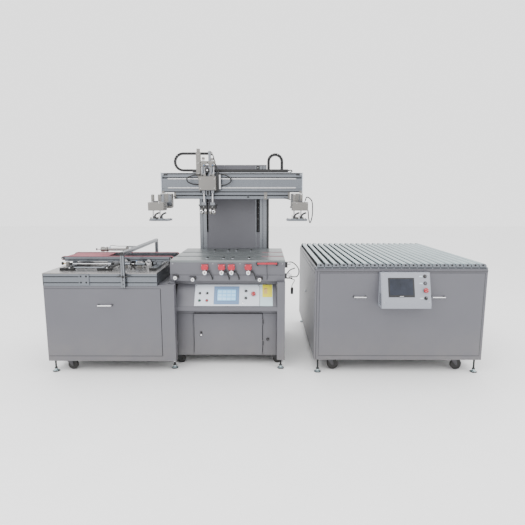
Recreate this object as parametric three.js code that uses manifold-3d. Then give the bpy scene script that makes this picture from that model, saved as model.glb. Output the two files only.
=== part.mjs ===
// Three-module automatic flat-bed screen printing line: a belt infeed table, a column printer and a roller
// outfeed table. Millimetres, +Z up, the operator's side faces -Y, and sheets travel along +X.
import * as THREE from 'three';
import { mergeVertices } from 'three/addons/utils/BufferGeometryUtils.js';
import Module from 'manifold-3d';

const wasm = await Module();
wasm.setup();

// Driving dimensions.
const GAP = 0.3; // between pieces that touch
const HALF_LENGTH = 1890; // of the whole line, along X
const HALF_DEPTH = 870; // of the whole line, along Y
const PASS_HEIGHT = 978; // the height at which sheets travel

const INFEED = {
  left: -1880,
  front: -740,
  width: 1046,
  depth: 1180,
  bottom: 108,
  top: 774,
  wall: 12,
  endPost: 69, // the front post past the cabinet's right side
  endPostDepth: 80,
  frameWidth: 972,
  frameTop: 880,
  plate: 8,
  window: { x: [26, 978], z: [177, 733] },
  panel: { x: [6, 998], z: [157, 753] },
};
const PRINTER = {
  centre: -318,
  front: -650,
  halfWidth: 505,
  depth: 1150,
  legs: [[-505, -465], [435, 505]], // the left and the right pair, along X
  legDepth: 55,
  bottom: 85,
  apronBottom: 794,
  tableFront: 50,
  tableBack: 930,
  tableThickness: 18,
};
const OUTFEED = {
  left: 435,
  front: -740,
  width: HALF_LENGTH - 435,
  depth: HALF_DEPTH + 740,
  bottom: 125,
  top: 917,
  wall: 12,
  window: { x: [60, 1410], z: [185, 870] },
  panel: { x: [40, 1430], z: [165, 890] },
};
const CASTOR = { width: 28, cheek: 5, trail: 38 };
const CONSOLE_TILT = THREE.MathUtils.degToRad(33.5);
const OUTFEED_TILT = THREE.MathUtils.degToRad(17.4);

// Finishes.
const finish = (colour, roughness, metalness) => (
  new THREE.MeshStandardMaterial({ color: colour, roughness, metalness })
);
const PAINT = finish(0x9a9b9e, 0.55, 0.1);
const ALUMINIUM = finish(0xb9bdc2, 0.4, 0.9);
const STEEL = finish(0xc9cbcd, 0.3, 1.0);
const WHITE = finish(0xe8e8ea, 0.5, 0.0);
const RED = finish(0xc2323c, 0.45, 0.0);
const GREEN = finish(0x1f5b45, 0.45, 0.0);
const BLACK = finish(0x1c1d20, 0.6, 0.0);
const BELT = finish(0xa2585c, 0.8, 0.0);
const RUBBER = finish(0x26272a, 0.85, 0.0);

// Shapes. Each is a manifold solid made from a three.js geometry.
function solid(geometry) {
  geometry.deleteAttribute('normal');
  geometry.deleteAttribute('uv');
  const merged = mergeVertices(geometry, 1e-4);
  return new wasm.Manifold(new wasm.Mesh({
    numProp: 3,
    vertProperties: Float32Array.from(merged.attributes.position.array),
    triVerts: Uint32Array.from(merged.index.array),
  }));
}

function box([x0, x1], [y0, y1], [z0, z1]) {
  const geometry = new THREE.BoxGeometry(x1 - x0, y1 - y0, z1 - z0);
  return solid(geometry.translate((x0 + x1) / 2, (y0 + y1) / 2, (z0 + z1) / 2));
}

// A round bar along an axis, between two places on it; across is where it stands on the other two axes.
function bar(axis, radius, [from, to], across, sides = 14) {
  const geometry = new THREE.CylinderGeometry(radius, radius, to - from, sides);
  geometry.translate(0, (from + to) / 2, 0);
  if (axis === 'x') geometry.rotateZ(-Math.PI / 2).translate(0, across[0], across[1]);
  if (axis === 'y') geometry.translate(across[0], 0, across[1]);
  if (axis === 'z') geometry.rotateX(Math.PI / 2).translate(across[0], across[1], 0);
  return solid(geometry);
}

// A turned piece on a vertical axis, from its [radius, height] outline.
function turned(outline, [x, y], sides = 14) {
  const points = outline.map(([r, z]) => new THREE.Vector2(r, z));
  return solid(new THREE.LatheGeometry(points, sides).rotateX(Math.PI / 2).translate(x, y, 0));
}

// A prism along X from its [y, z] outline.
function prismX(outline, [x0, x1]) {
  const shape = new THREE.Shape(outline.map(([y, z]) => new THREE.Vector2(y, z)));
  const geometry = new THREE.ExtrudeGeometry(shape, { depth: x1 - x0, bevelEnabled: false });
  const axes = new THREE.Matrix4().makeBasis(
    new THREE.Vector3(0, 1, 0),
    new THREE.Vector3(0, 0, 1),
    new THREE.Vector3(1, 0, 0),
  );
  return solid(geometry.applyMatrix4(axes).translate(x0, 0, 0));
}

// A prism along Y from a shape drawn in x and z.
function prismY(shape, [y0, y1], curveSegments = 10) {
  const geometry = new THREE.ExtrudeGeometry(shape, { depth: y1 - y0, bevelEnabled: false, curveSegments });
  return solid(geometry.rotateX(Math.PI / 2).translate(0, y1, 0));
}

function hose(points, radius, steps) {
  const section = new THREE.Shape();
  const sides = 8;
  for (let i = 0; i < sides; i += 1) {
    const turn = (2 * Math.PI * i) / sides;
    const corner = [radius * Math.cos(turn), radius * Math.sin(turn)];
    if (i === 0) section.moveTo(...corner);
    else section.lineTo(...corner);
  }
  section.closePath();
  const path = new THREE.CatmullRomCurve3(points.map((p) => new THREE.Vector3(...p)));
  return solid(new THREE.ExtrudeGeometry(section, { steps, extrudePath: path, bevelEnabled: false }));
}

const fuse = (...solids) => solids.flat().reduce((whole, piece) => whole.add(piece));
const cut = (whole, ...tools) => tools.flat().reduce((rest, tool) => rest.subtract(tool), whole);

function node(name, shape, material, parent) {
  const { vertProperties, triVerts } = shape.getMesh();
  const geometry = new THREE.BufferGeometry();
  geometry.setAttribute('position', new THREE.BufferAttribute(Float32Array.from(vertProperties), 3));
  geometry.setIndex(Array.from(triVerts));
  geometry.computeVertexNormals();
  const mesh = new THREE.Mesh(geometry, material);
  mesh.name = name;
  parent.add(mesh);
  return mesh;
}

function groupAt(parent, [x, y, z], tilt = 0) {
  const group = new THREE.Group();
  group.position.set(x, y, z);
  group.rotation.x = -tilt;
  parent.add(group);
  return group;
}

// Feet, castors, cabinets and panels, shared by the modules.
function foot([x, y], height) {
  const [pad, neck, stud] = [30, 13, 8];
  const base = [[0, 0], [pad, 0], [pad, 9], [neck, 18], [neck, 26]];
  return turned([...base, [stud, 28], [stud, height], [0, height]], [x, y]);
}

function castorWheel([x, y], radius, clearance, axleReach) {
  const centre = [x, radius + clearance];
  const tyre = bar('y', radius, [y - CASTOR.width / 2, y + CASTOR.width / 2], centre, 20);
  return tyre.add(bar('y', 9, [y - axleReach, y + axleReach], centre, 10));
}

// The fork's plate is at the cabinet's underside; the wheel trails towards +X.
function castorFork([x, y], radius, clearance, height) {
  const inner = CASTOR.width / 2 + 2;
  const pivot = x - CASTOR.trail;
  const crown = radius * 2 + clearance + 3;
  const cheeks = [-1, 1].map((side) => {
    const ys = [y + side * inner, y + side * (inner + CASTOR.cheek)].sort((a, b) => a - b);
    return box([pivot - 22, x + 12], ys, [radius + clearance - 10, crown + 4]);
  });
  const reach = inner + CASTOR.cheek;
  const top = box([pivot - 22, x + 12], [y - reach, y + reach], [crown, crown + 5]);
  return fuse(top, cheeks, bar('z', 16, [crown, height], [pivot, y]));
}

// Front castors turn in their forks as nodes of their own; rear ones are joined to theirs.
function footings({ width, depth, bottom, wall }, castor, sides) {
  const { radius, clearance, foot: footX, x: castorX, y: castorY } = castor;
  const plateReach = castorX + 45;
  const solids = [];
  const inner = CASTOR.width / 2 + 2;
  for (const fromLeft of sides.map((side) => side === 'left')) {
    for (const fromFront of [true, false]) {
      const xs = fromLeft ? [wall - 2, plateReach] : [width - plateReach, width - wall + 2];
      const ys = fromFront ? [wall - 2, castorY + 45] : [depth - castorY - 45, depth - wall + 2];
      const footPlace = [fromLeft ? footX : width - footX, fromFront ? footX : depth - footX];
      const wheelPlace = [fromLeft ? castorX : width - castorX, fromFront ? castorY : depth - castorY];
      solids.push(box(xs, ys, [bottom, bottom + 8]), foot(footPlace, bottom + 4));
      solids.push(castorFork(wheelPlace, radius, clearance, bottom + 4));
      if (!fromFront) solids.push(castorWheel(wheelPlace, radius, clearance, inner + 2));
    }
  }
  return solids;
}

function frontWheels(parent, prefix, width, castor, sides) {
  const reach = CASTOR.width / 2 + 2 - GAP;
  for (const side of sides) {
    const x = side === 'left' ? castor.x : width - castor.x;
    const wheel = castorWheel([x, castor.y], castor.radius, castor.clearance, reach);
    node(`${prefix}_wheel_${side}`, wheel, RUBBER, parent);
  }
}

// An open-bottomed sheet cabinet with a window in its front.
function shell({ width, depth, bottom, top, wall, window }) {
  return cut(
    box([0, width], [0, depth], [bottom, top]),
    box([wall, width - wall], [wall, depth - wall], [bottom - 1, top - wall]),
    box(window.x, [-1, wall + 1], window.z),
  );
}

function barHandle(x0, x1, z, y) {
  const [reach, thick] = [34, 9];
  const posts = [x0, x1 - thick].map((x) => box([x, x + thick], [y - reach, y + 1], [z - thick, z + thick]));
  return fuse(box([x0, x1], [y - reach - 1, y - reach + thick], [z - thick / 2, z + thick / 2]), posts);
}

// Push buttons and selectors sit in pockets in a panel whose face is y = 0 of their group.
const BUTTON = { pocket: 12, cap: 11.5, stand: 8, sunk: 3, depth: 9 };
const STOP = { cap: 20, stand: 26 };

function pocket([x, z]) {
  return bar('y', BUTTON.pocket, [-20, BUTTON.depth], [x, z], 16);
}

function button([x, z]) {
  return bar('y', BUTTON.cap, [-BUTTON.stand, BUTTON.sunk], [x, z], 16);
}

function selector([x, z]) {
  const grip = box([x - 3.5, x + 3.5], [-BUTTON.stand - 10, -BUTTON.stand + 1], [z - 10, z + 10]);
  return button([x, z]).add(grip);
}

function stopButton([x, z]) {
  const head = bar('y', STOP.cap, [-STOP.stand, -STOP.stand + 16], [x, z], 18);
  return head.add(bar('y', BUTTON.cap, [-STOP.stand + 15, BUTTON.sunk], [x, z], 16));
}

// Infeed module.
const INFEED_CASTOR = { radius: 45, clearance: 4, foot: 40, x: 178, y: 80 };
const INFEED_SIDES = ['left']; // its right side is bolted to the printer's base
const CONVEYOR = { front: 400, rear: 690, width: 40, left: -10, right: 1030, belt: 4, plateFeet: 150 };
const PORTAL = { x: 696, side: 30, top: 1072, back: 1140, bottom: 768 };
const PUSHER = {
  y: 540,
  z: 1026,
  head: [307, 376],
  headRadius: 24,
  tubeEnd: 575,
  tubeRadius: 14,
  tip: 259,
  rodEnd: 475,
  rod: 7,
};

function infeedTopFrame() {
  const { frameWidth, depth, top, frameTop } = INFEED;
  const [inset, thick, groove] = [6, 45, 8];
  const ring = cut(
    box([0, frameWidth], [inset, depth - inset], [top + GAP, frameTop]),
    box([thick, frameWidth - thick], [inset + thick, depth - inset - thick], [top - 1, frameTop + 1]),
  );
  const grooves = [top + 26, top + 78].flatMap((z) => [
    box([-1, frameWidth + 1], [inset - 1, inset + groove], [z, z + groove]),
    box([-1, groove], [-1, depth], [z, z + groove]),
  ]);
  const joint = box([310, 396], [inset - 8, inset + 1], [top + 8, frameTop - 2]);
  return cut(ring, grooves).add(joint);
}

function infeedTopPlate() {
  const { frameWidth, depth, frameTop, plate } = INFEED;
  return box([-2, frameWidth + 2], [2, depth - 2], [frameTop + GAP, frameTop + plate]);
}

function conveyorBed() {
  const { front, rear, width, left, right, plateFeet } = CONVEYOR;
  const base = INFEED.frameTop + INFEED.plate + GAP;
  const beltTop = PASS_HEIGHT - CONVEYOR.belt - GAP;
  const [nose, channel] = [14, 44];
  const channels = [front, rear].map((y) => (
    box([left + nose, right - nose], [y - width / 2, y + width / 2], [beltTop - channel, beltTop])
  ));
  const rollers = [front, rear].flatMap((y) => [left + nose, right - nose].map((x) => (
    bar('y', nose, [y - width / 2, y + width / 2], [x, beltTop - nose])
  )));
  const lowerBars = [front, rear].map((y) => box([60, 470], [y - 15, y + 15], [base + 14, base + 26]));
  const supports = [110, 440, 900].flatMap((x) => [
    box([x - 26, x + 26], [plateFeet, rear + 60], [base, base + 16]),
    ...[front, rear].map((y) => box([x - 22, x + 22], [y - 6, y + 6], [base + 10, beltTop - channel + 1])),
  ]);
  const feet = [110, 440].map((x) => box([x, x + 100], [plateFeet, plateFeet + 26], [base, base + 22]));
  const apron = box([20, 400], [front + width / 2 - 1, rear - width / 2 + 1], [beltTop - 8, beltTop]);
  return fuse(channels, rollers, lowerBars, supports, feet, apron);
}

function conveyorBelt(y) {
  const { left, right, width, belt } = CONVEYOR;
  return box([left, right - 10], [y - width / 2 + 1, y + width / 2 - 1], [PASS_HEIGHT - belt, PASS_HEIGHT]);
}

// The bridge carries a small air cylinder that noses sheets towards the printer.
function portal() {
  const { x, side, top, back, bottom } = PORTAL;
  const [x0, x1] = [x - side / 2, x + side / 2];
  const front = INFEED.wall - 16 - side;
  const plateTop = INFEED.frameTop + INFEED.plate + 1;
  const bridge = box([x0, x1], [front, back], [top - side, top]);
  const frontPost = box([x0, x1], [front, front + side], [bottom, top - 1]);
  const backPost = box([x0, x1], [back - side, back], [plateTop, top - 1]);
  const handle = box([x - 54, x + 54], [front + 8, front + 20], [856, 868]);
  const { y, z, head, tubeEnd, rodEnd } = PUSHER;
  const hanger = fuse(
    box([tubeEnd - 24, tubeEnd - 2], [y - 16, y + 16], [z - 16, z + 26]),
    box([tubeEnd - 24, x], [y - 12, y + 12], [z + 18, z + 26]),
  );
  const cylinder = fuse(
    bar('x', PUSHER.tubeRadius, [head[1] - 1, tubeEnd], [y, z]),
    bar('x', PUSHER.headRadius, head, [y, z]),
  );
  const bore = bar('x', PUSHER.rod + 0.6, [head[0] - 2, rodEnd + 20], [y, z], 10);
  return cut(fuse(bridge, frontPost, backPost, handle, cylinder, hanger), bore);
}

function pusherRod() {
  const { y, z, rod, tip, rodEnd } = PUSHER;
  return bar('x', rod, [tip + 9, rodEnd], [y, z], 10).add(bar('x', 11, [tip, tip + 10], [y, z]));
}

function buildInfeed(line) {
  const module = groupAt(line, [INFEED.left, INFEED.front, 0]);
  const { width, depth, bottom, top, panel, frameWidth, endPost, endPostDepth } = INFEED;
  const ledge = box([frameWidth + 4, width], [2, depth - 2], [top - 1, top + 8]);
  const post = box([width - 1, width + endPost], [0, endPostDepth], [bottom, top + 8]);
  const linkBolt = bar('z', 12, [bottom - 14, bottom + 1], [width + endPost - 20, 30], 8);
  const legs = footings(INFEED, INFEED_CASTOR, INFEED_SIDES);
  node('infeed_cabinet', fuse(shell(INFEED), legs, ledge, post, linkBolt), PAINT, module);
  const sheet = box(panel.x, [-4 - GAP, -GAP], panel.z);
  node('infeed_front_panel', sheet.add(barHandle(464, 589, 613, -4)), PAINT, module);
  node('infeed_top_frame', infeedTopFrame(), ALUMINIUM, module);
  node('infeed_top_plate', infeedTopPlate(), STEEL, module);
  node('infeed_conveyor', conveyorBed(), ALUMINIUM, module);
  node('infeed_belt_front', conveyorBelt(CONVEYOR.front), BELT, module);
  node('infeed_belt_rear', conveyorBelt(CONVEYOR.rear), BELT, module);
  node('infeed_portal', portal(), ALUMINIUM, module);
  node('infeed_pusher_rod', pusherRod(), STEEL, module);
  frontWheels(module, 'infeed', width, INFEED_CASTOR, INFEED_SIDES);
}

// Printer module: its group's x = 0 is the module's middle and y = 0 the front of its legs.
const PRINTER_CASTOR = { radius: 37, clearance: 4, x: 62, y: 150 };
const CABINET = {
  front: 100,
  back: 1100,
  bottom: 93,
  top: 640,
  wall: 12,
  window: { x: [-297, 290], z: [120, 470] },
};
const DOOR = {
  x: [-311, 304],
  z: [105, 488],
  thick: 18,
  pin: 7,
  hinges: [214, 414],
  lock: { inset: 63, z: 300, radius: 16 },
};
const LIP = { z: [536, 572], depth: 30 };
const SLOPE = { y: 8, z: LIP.z[1] + GAP, length: 216, plate: 15, left: -460, right: 432 };
const FACEPLATE = { x: [-295, 280], z: [6, 208], proud: 3 };
const SCREEN = { x: [-125, 100], z: [20, 190], proud: 6 };
const BUTTONS = {
  start: { at: [-251, 124], colour: BLACK },
  stop: { at: [-186, 124], colour: BLACK },
  vacuum: { at: [-251, 56], colour: GREEN },
  reset: { at: [-186, 56], colour: RED },
};
const SELECTORS = { mode: [159, 146], light: [159, 80] };
const PRINTER_STOP = [226, 116];
const ADJUSTERS = [-198, -51, 35, 182];
const KNOB_HEIGHT = 872;
const COLUMN = {
  left: -371,
  right: 345,
  front: 950,
  back: 1150,
  bottom: CABINET.top + GAP,
  top: 1858,
  wall: 12,
};
const LEFT_SLOT = [-296, -278];
const RIGHT_SLOT = [236, 272];

function printerBase() {
  const { halfWidth, depth, legDepth, bottom, apronBottom } = PRINTER;
  const { front, back, wall } = CABINET;
  const legTops = [[0, apronBottom - GAP], [depth - legDepth, CABINET.top]];
  const legs = PRINTER.legs.flatMap((xs) => legTops.map(([y, top]) => (
    box(xs, [y, y + legDepth], [bottom, top])
  )));
  const upperWalls = [-1, 1].map((side) => {
    const xs = [side * (halfWidth - wall), side * halfWidth].sort((a, b) => a - b);
    return box(xs, [legDepth - 1, PRINTER.tableBack], [CABINET.top - 1, apronBottom - GAP]);
  });
  const riser = box([wall - halfWidth - 1, halfWidth - wall + 1], [128, 136], [753, apronBottom - GAP]);
  const footPlaces = PRINTER.legs.flatMap(([x0, x1]) => (
    [legDepth / 2, depth - legDepth / 2].map((y) => [(x0 + x1) / 2, y])
  ));
  const feet = footPlaces.map((place) => foot(place, bottom + 4));
  const inside = [wall - halfWidth, halfWidth - wall];
  const body = cut(
    box([-halfWidth, halfWidth], [front, back], [CABINET.bottom, CABINET.top]),
    box(inside, [front + wall, back - wall], [CABINET.bottom - 1, CABINET.top - wall]),
    box(CABINET.window.x, [front - 1, front + wall + 1], CABINET.window.z),
  );
  const sides = PRINTER.legs.flatMap((xs) => (
    [[legDepth - 1, front + 1], [back - 1, depth - legDepth + 1]].map((ys) => box(xs, ys, [200, 240]))
  ));
  const [lipLow, lipTop] = LIP.z;
  const lipBack = lipTop - (LIP.depth - SLOPE.y) * Math.tan(CONSOLE_TILT);
  const lipOutline = [[0, lipLow], [LIP.depth, lipLow], [LIP.depth, lipBack], [SLOPE.y, lipTop], [0, lipTop]];
  const lip = prismX(lipOutline, [1 - halfWidth, halfWidth - 1]);
  const { radius, clearance } = PRINTER_CASTOR;
  const inner = CASTOR.width / 2 + 2;
  const castors = [-1, 1].flatMap((side) => [PRINTER_CASTOR.y, back - 50].flatMap((y) => {
    const place = [side * (halfWidth - PRINTER_CASTOR.x), y];
    const plate = box([place[0] - 65, place[0] + 25], [y - 45, y + 45], [CABINET.bottom, CABINET.bottom + 8]);
    const fork = castorFork(place, radius, clearance, CABINET.bottom + 4);
    return y > front + 200 ? [plate, fork, castorWheel(place, radius, clearance, inner + 2)] : [plate, fork];
  }));
  const mounts = [-1, 1].flatMap((side) => {
    const edge = side * (halfWidth - wall);
    const xs = [edge, edge - side * 150].sort((a, b) => a - b);
    return [
      box(xs, [front + wall - 1, front + 110], [CABINET.bottom, CABINET.bottom + 8]),
      box(xs, [back - 110, back - wall + 1], [CABINET.bottom, CABINET.bottom + 8]),
    ];
  });
  const deckEnds = [PRINTER.legs[0][1] - 1, PRINTER.legs[1][0] + 1];
  const deck = box(deckEnds, [back - 160, depth], [CABINET.top - 14, CABINET.top]);
  return fuse(body, legs, upperWalls, riser, feet, sides, lip, mounts, castors, deck);
}

function printerDoor() {
  const { x, z, thick, pin, lock } = DOOR;
  const back = CABINET.front - GAP;
  const leaf = box(x, [back - thick, back], z);
  const escutcheon = bar('y', lock.radius, [back - thick - 5, back - thick + 1], [x[0] + lock.inset, lock.z]);
  const hinges = DOOR.hinges.map((at) => (
    bar('z', pin, [at - 22, at + 22], [x[1] + pin - 1, back - thick + pin - 1], 10)
  ));
  return fuse(leaf, escutcheon, hinges);
}

function controlFace() {
  const { left, right, length, plate } = SLOPE;
  const face = fuse(
    box([left, right], [0, plate], [0, length]),
    box(FACEPLATE.x, [-FACEPLATE.proud, 1], FACEPLATE.z),
    box(SCREEN.x, [-SCREEN.proud, 1], SCREEN.z),
    bar('y', 10, [-12, 1], [138, 34]),
  );
  const places = [...Object.values(BUTTONS).map(({ at }) => at), ...Object.values(SELECTORS), PRINTER_STOP];
  return cut(face, places.map(pocket));
}

function tableApron() {
  const { halfWidth, apronBottom, tableFront, tableBack, tableThickness } = PRINTER;
  const wall = 14;
  const top = PASS_HEIGHT - tableThickness - GAP;
  const inside = [wall - halfWidth, halfWidth - wall];
  const ring = cut(
    box([-halfWidth, halfWidth], [tableFront, tableBack], [apronBottom, top]),
    box(inside, [tableFront + wall, tableBack - wall], [apronBottom - 1, top + 1]),
  );
  const housings = ADJUSTERS.map((x) => box([x - 30, x + 30], [12, tableFront + 1], [897, 944]));
  const spindles = ADJUSTERS.map((x) => bar('y', 6, [34, tableFront + 1], [x, KNOB_HEIGHT], 8));
  const lightBar = box([251, 445], [22, tableFront + 1], [945, top]);
  const microKnobs = [[-304, 812], [281, 812], [-456, 826]].map((place) => (
    bar('y', 18, [tableFront - 40, tableFront + 1], place)
  ));
  const loop = hose([
    [halfWidth - 6, 200, 930], [halfWidth + 70, 190, 940], [halfWidth + 128, 180, 880],
    [halfWidth + 118, 180, 815], [halfWidth + 60, 190, 810], [halfWidth - 6, 200, 840],
  ], 5, 20);
  const probe = fuse(
    box([halfWidth - 1, halfWidth + 76], [120, 140], [800, 812]),
    bar('z', 4, [720, 802], [halfWidth + 67, 130], 8),
    bar('z', 12, [660, 722], [halfWidth + 67, 130], 12),
  );
  return fuse(ring, housings, spindles, lightBar, microKnobs, loop, probe);
}

function tableTop() {
  const { halfWidth, tableFront, tableBack, tableThickness } = PRINTER;
  const moduleY = PRINTER.front - INFEED.front;
  const [z0, z1] = [PASS_HEIGHT - tableThickness, PASS_HEIGHT];
  const grooves = [CONVEYOR.front, CONVEYOR.rear].map((y) => (
    box([-halfWidth - 1, halfWidth + 1], [y - moduleY - 23, y - moduleY + 23], [z1 - 8, z1 + 1])
  ));
  const slots = ADJUSTERS.flatMap((x) => (
    [[150, 280], [690, 850]].map((ys) => box([x - 12, x + 12], ys, [z0 - 1, z1 + 1]))
  ));
  return cut(box([-halfWidth, halfWidth], [tableFront, tableBack], [z0, z1]), grooves, slots);
}

function adjusterKnob(x) {
  return cut(
    bar('y', 21, [14, 46], [x, KNOB_HEIGHT], 18),
    bar('y', 7, [32, 47], [x, KNOB_HEIGHT], 10),
  );
}

// A clamp lever beside each knob, hanging down and out from its boss.
function adjusterLever(x) {
  const boss = bar('y', 9, [28, PRINTER.tableFront - GAP], [x + 36, 880], 12);
  const corners = [[31, 882], [42, 880], [74, 812], [62, 810]];
  const outline = new THREE.Shape(corners.map(([dx, z]) => new THREE.Vector2(x + dx, z)));
  return fuse(boss, prismY(outline, [20, 32]));
}

function column() {
  const { left, right, front, back, bottom, top, wall } = COLUMN;
  const slotHeights = [1150, 1800];
  const body = cut(
    box([left, right], [front, back], [bottom, top]),
    box([left + wall, right - wall], [front + 15, back + 1], [bottom + wall, top - wall]),
    box(LEFT_SLOT, [front - 1, front + 16], slotHeights),
    box(RIGHT_SLOT, [front - 1, front + 16], slotHeights),
  );
  const duct = box([right - 1, right + 26], [front + 5, front + 45], [bottom, 1790]);
  const bracket = box([right + 5, right + 35], [812, front + 20], [1766, 1790]);
  return fuse(body, duct, bracket);
}

// Gantry: the beam, the rail under it and the carriage that runs in the column's slots.
const BEAM = { half: 694, front: 650, back: 800, bottom: 1570, top: 1759 };
const RAIL = { half: 572, y: [655, 700], z: [1505, 1571] };
const TRAY = { x: [-395, 560], y: [702, 748], top: 1799 };
const HEAD = { x: [-312, -143], front: 532, z: [1588, 1721] };
const HOLDERS = { flood: -268, squeegee: -185 };
const ARM_X = 640;
const CHAIN = { y: [712, 738], thick: 22, reach: 82, upperEnd: -224, bend: -488 };
const ARCH = { left: 364, right: 500, y: [816, 846], thick: 26, crown: 1883, foot: 1800 };

function beam() {
  const { half, front, back, bottom, top } = BEAM;
  const grooves = [bottom + 28, top - 50].map((z) => (
    box([-half - 1, half + 1], [front - 1, front + 9], [z, z + 9])
  ));
  const girder = cut(box([-half, half], [front, back], [bottom, top]), grooves);
  const endPlates = [-1, 1].map((side) => {
    const xs = [side * (half - 1), side * (half + 8)].sort((a, b) => a - b);
    return box(xs, [front - 12, back], [bottom - 8, top + 4]);
  });
  const headRails = [1608, 1696].map((z) => (
    box([-half + 60, half - 60], [front - 7, front + 1], [z, z + 12])
  ));
  const armRail = box([-RAIL.half, RAIL.half], RAIL.y, RAIL.z);
  const tray = box(TRAY.x, TRAY.y, [top - 1, TRAY.top]);
  const archSeat = box([ARCH.right - 14, ARCH.right + 14], [back - 20, ARCH.y[1]], [1740, ARCH.foot - GAP]);
  return fuse(girder, endPlates, headRails, armRail, tray, archSeat);
}

function gantryCarriage() {
  const gap = 1;
  const block = box([-335, 310], [BEAM.back + GAP, COLUMN.front - gap], [1540, 1738]);
  const shoes = [LEFT_SLOT, RIGHT_SLOT].flatMap(([x0, x1]) => [1550, 1680].map((z) => (
    box([x0 + 2, x1 - 2], [COLUMN.front - 2, COLUMN.front + 20], [z, z + 50])
  )));
  return fuse(block, shoes);
}

function printHead() {
  const { x, front, z } = HEAD;
  const back = BEAM.front - 7 - 1;
  const block = box(x, [front, back], z);
  const cylinders = fuse(
    bar('z', 20, [z[1] - 1, 1908], [-268, 580]),
    bar('z', 17, [z[1] - 1, 1900], [-185, 580]),
    box([-306, -150], [562, 598], [1838, 1872]),
  );
  const post = fuse(
    box([-341, -297], [590, 626], [1725, 1987]),
    box([-326, -300], [590, 626], [1700, 1760]),
  );
  const strut = fuse(
    box([-222, -200], [596, 640], [z[1] - 1, 1965]),
    box([CHAIN.upperEnd + GAP, -196], [600, 746], [CHAIN_TOP - 6, CHAIN_TOP + CHAIN.thick + 2]),
  );
  const cover = box([x[1] - 1, x[1] + 42], [560, 600], [1580, 1750]);
  const leftHose = hose([
    [-286, 566, 1738], [-352, 540, 1732], [-416, 534, 1708],
    [-416, 534, 1672], [-364, 538, 1648], [-300, 560, 1644],
  ], 5, 18);
  const rightHose = hose([
    [-110, 580, 1738], [-60, 556, 1738], [-6, 548, 1704],
    [-6, 548, 1668], [-56, 552, 1640], [-112, 580, 1640],
  ], 5, 18);
  const guides = Object.values(HOLDERS).flatMap((at) => bar('z', 9, [z[0] - 1, 1700], [at, 580], 12));
  return cut(fuse(block, cylinders, post, strut, cover, leftHose, rightHose), guides);
}

// Each holder is a clamp for a blade that lies along Y, on a rod that slides up into the head.
function bladeHolder(at) {
  const rod = bar('z', 8, [1432, 1690], [at, 580], 12);
  const clamp = box([at - 34, at + 34], [540, 620], [1356, 1444]);
  const mouth = box([at - 8, at + 8], [530, 630], [1355, 1412]);
  const knob = bar('y', 13, [508, 541], [at, 1384]);
  return fuse(cut(clamp, mouth), rod, bar('y', 5, [507, 610], [at, 1384], 8), knob);
}

function cableChain() {
  const { y, thick, reach, upperEnd, bend } = CHAIN;
  const lower = TRAY.top - thick;
  const outline = new THREE.Shape();
  outline.moveTo(TRAY.x[0] - GAP, lower);
  outline.lineTo(bend, lower);
  outline.absarc(bend, lower + reach + thick / 2, reach + thick / 2, -Math.PI / 2, Math.PI / 2, true);
  outline.lineTo(upperEnd, lower + 2 * reach + thick);
  outline.lineTo(upperEnd, lower + 2 * reach);
  outline.lineTo(bend, lower + 2 * reach);
  outline.absarc(bend, lower + reach + thick / 2, reach - thick / 2, Math.PI / 2, -Math.PI / 2, false);
  outline.lineTo(TRAY.x[0] - GAP, lower + thick);
  return prismY(outline, y);
}

function cableArch() {
  const { left, right, y, thick, crown, foot: footHeight } = ARCH;
  const middle = (left + right) / 2;
  const radius = (right - left) / 2;
  const outline = new THREE.Shape();
  outline.moveTo(right + thick / 2, footHeight);
  outline.absarc(middle, crown, radius + thick / 2, 0, Math.PI, false);
  outline.lineTo(left - thick / 2, 1790 + GAP);
  outline.lineTo(left + thick / 2, 1790 + GAP);
  outline.absarc(middle, crown, radius - thick / 2, Math.PI, 0, true);
  outline.lineTo(right - thick / 2, footHeight);
  return prismY(outline, y);
}

// A clamp arm reaches forward under each end of the beam; side is -1 on the left and 1 on the right.
const ARM = { near: [165, 305], box: [1404, 1481], rear: [590, 652], bar: [1436, 1480] };

function clampArm(side) {
  const centre = side * ARM_X;
  const nearBox = box([centre - 70, centre + 70], ARM.near, ARM.box);
  const spine = box([centre - 28, centre + 28], [ARM.near[1] - 1, ARM.rear[1] - 4], ARM.bar);
  const rear = box([centre - 58, centre + 58], ARM.rear, [1425, 1560]);
  const rearPad = box([centre - 70, centre + 70], [470, 560], [1418, ARM.bar[0] + 1]);
  const guides = jawRods(centre, 9.5);
  const hoseSolids = side > 0 ? [hose([
    [centre + 44, 230, 1470], [centre + 62, 222, 1524], [centre + 106, 214, 1490], [centre + 114, 212, 1400],
    [centre + 108, 214, 1336], [centre + 94, 226, 1296], [centre + 83, 240, 1336], [centre + 77, 244, 1400],
    [centre + 62, 244, 1436],
  ], 5, 26)] : [];
  return cut(fuse(nearBox, spine, rear, rearPad, hoseSolids), guides);
}

function jawRods(centre, radius) {
  return [-48, 14].map((dx) => bar('z', radius, [1330, 1500], [centre + dx, 262], 10));
}

// The jaw grips a screen frame against the near box; it rises to close.
function clampJaw(side) {
  const centre = side * ARM_X;
  const inward = [centre - side * 118, centre + side * 66].sort((a, b) => a - b);
  const plate = box(inward, [176, 294], [1312, 1332]);
  const rest = box([centre - 60, centre + 34], [186, 284], [1331, 1346]);
  const caps = [-48, 14].map((dx) => bar('z', 15, [1483, 1552], [centre + dx, 262], 12));
  return fuse(plate, rest, jawRods(centre, 8), caps);
}

const CHAIN_TOP = TRAY.top - CHAIN.thick + 2 * CHAIN.reach;

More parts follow.
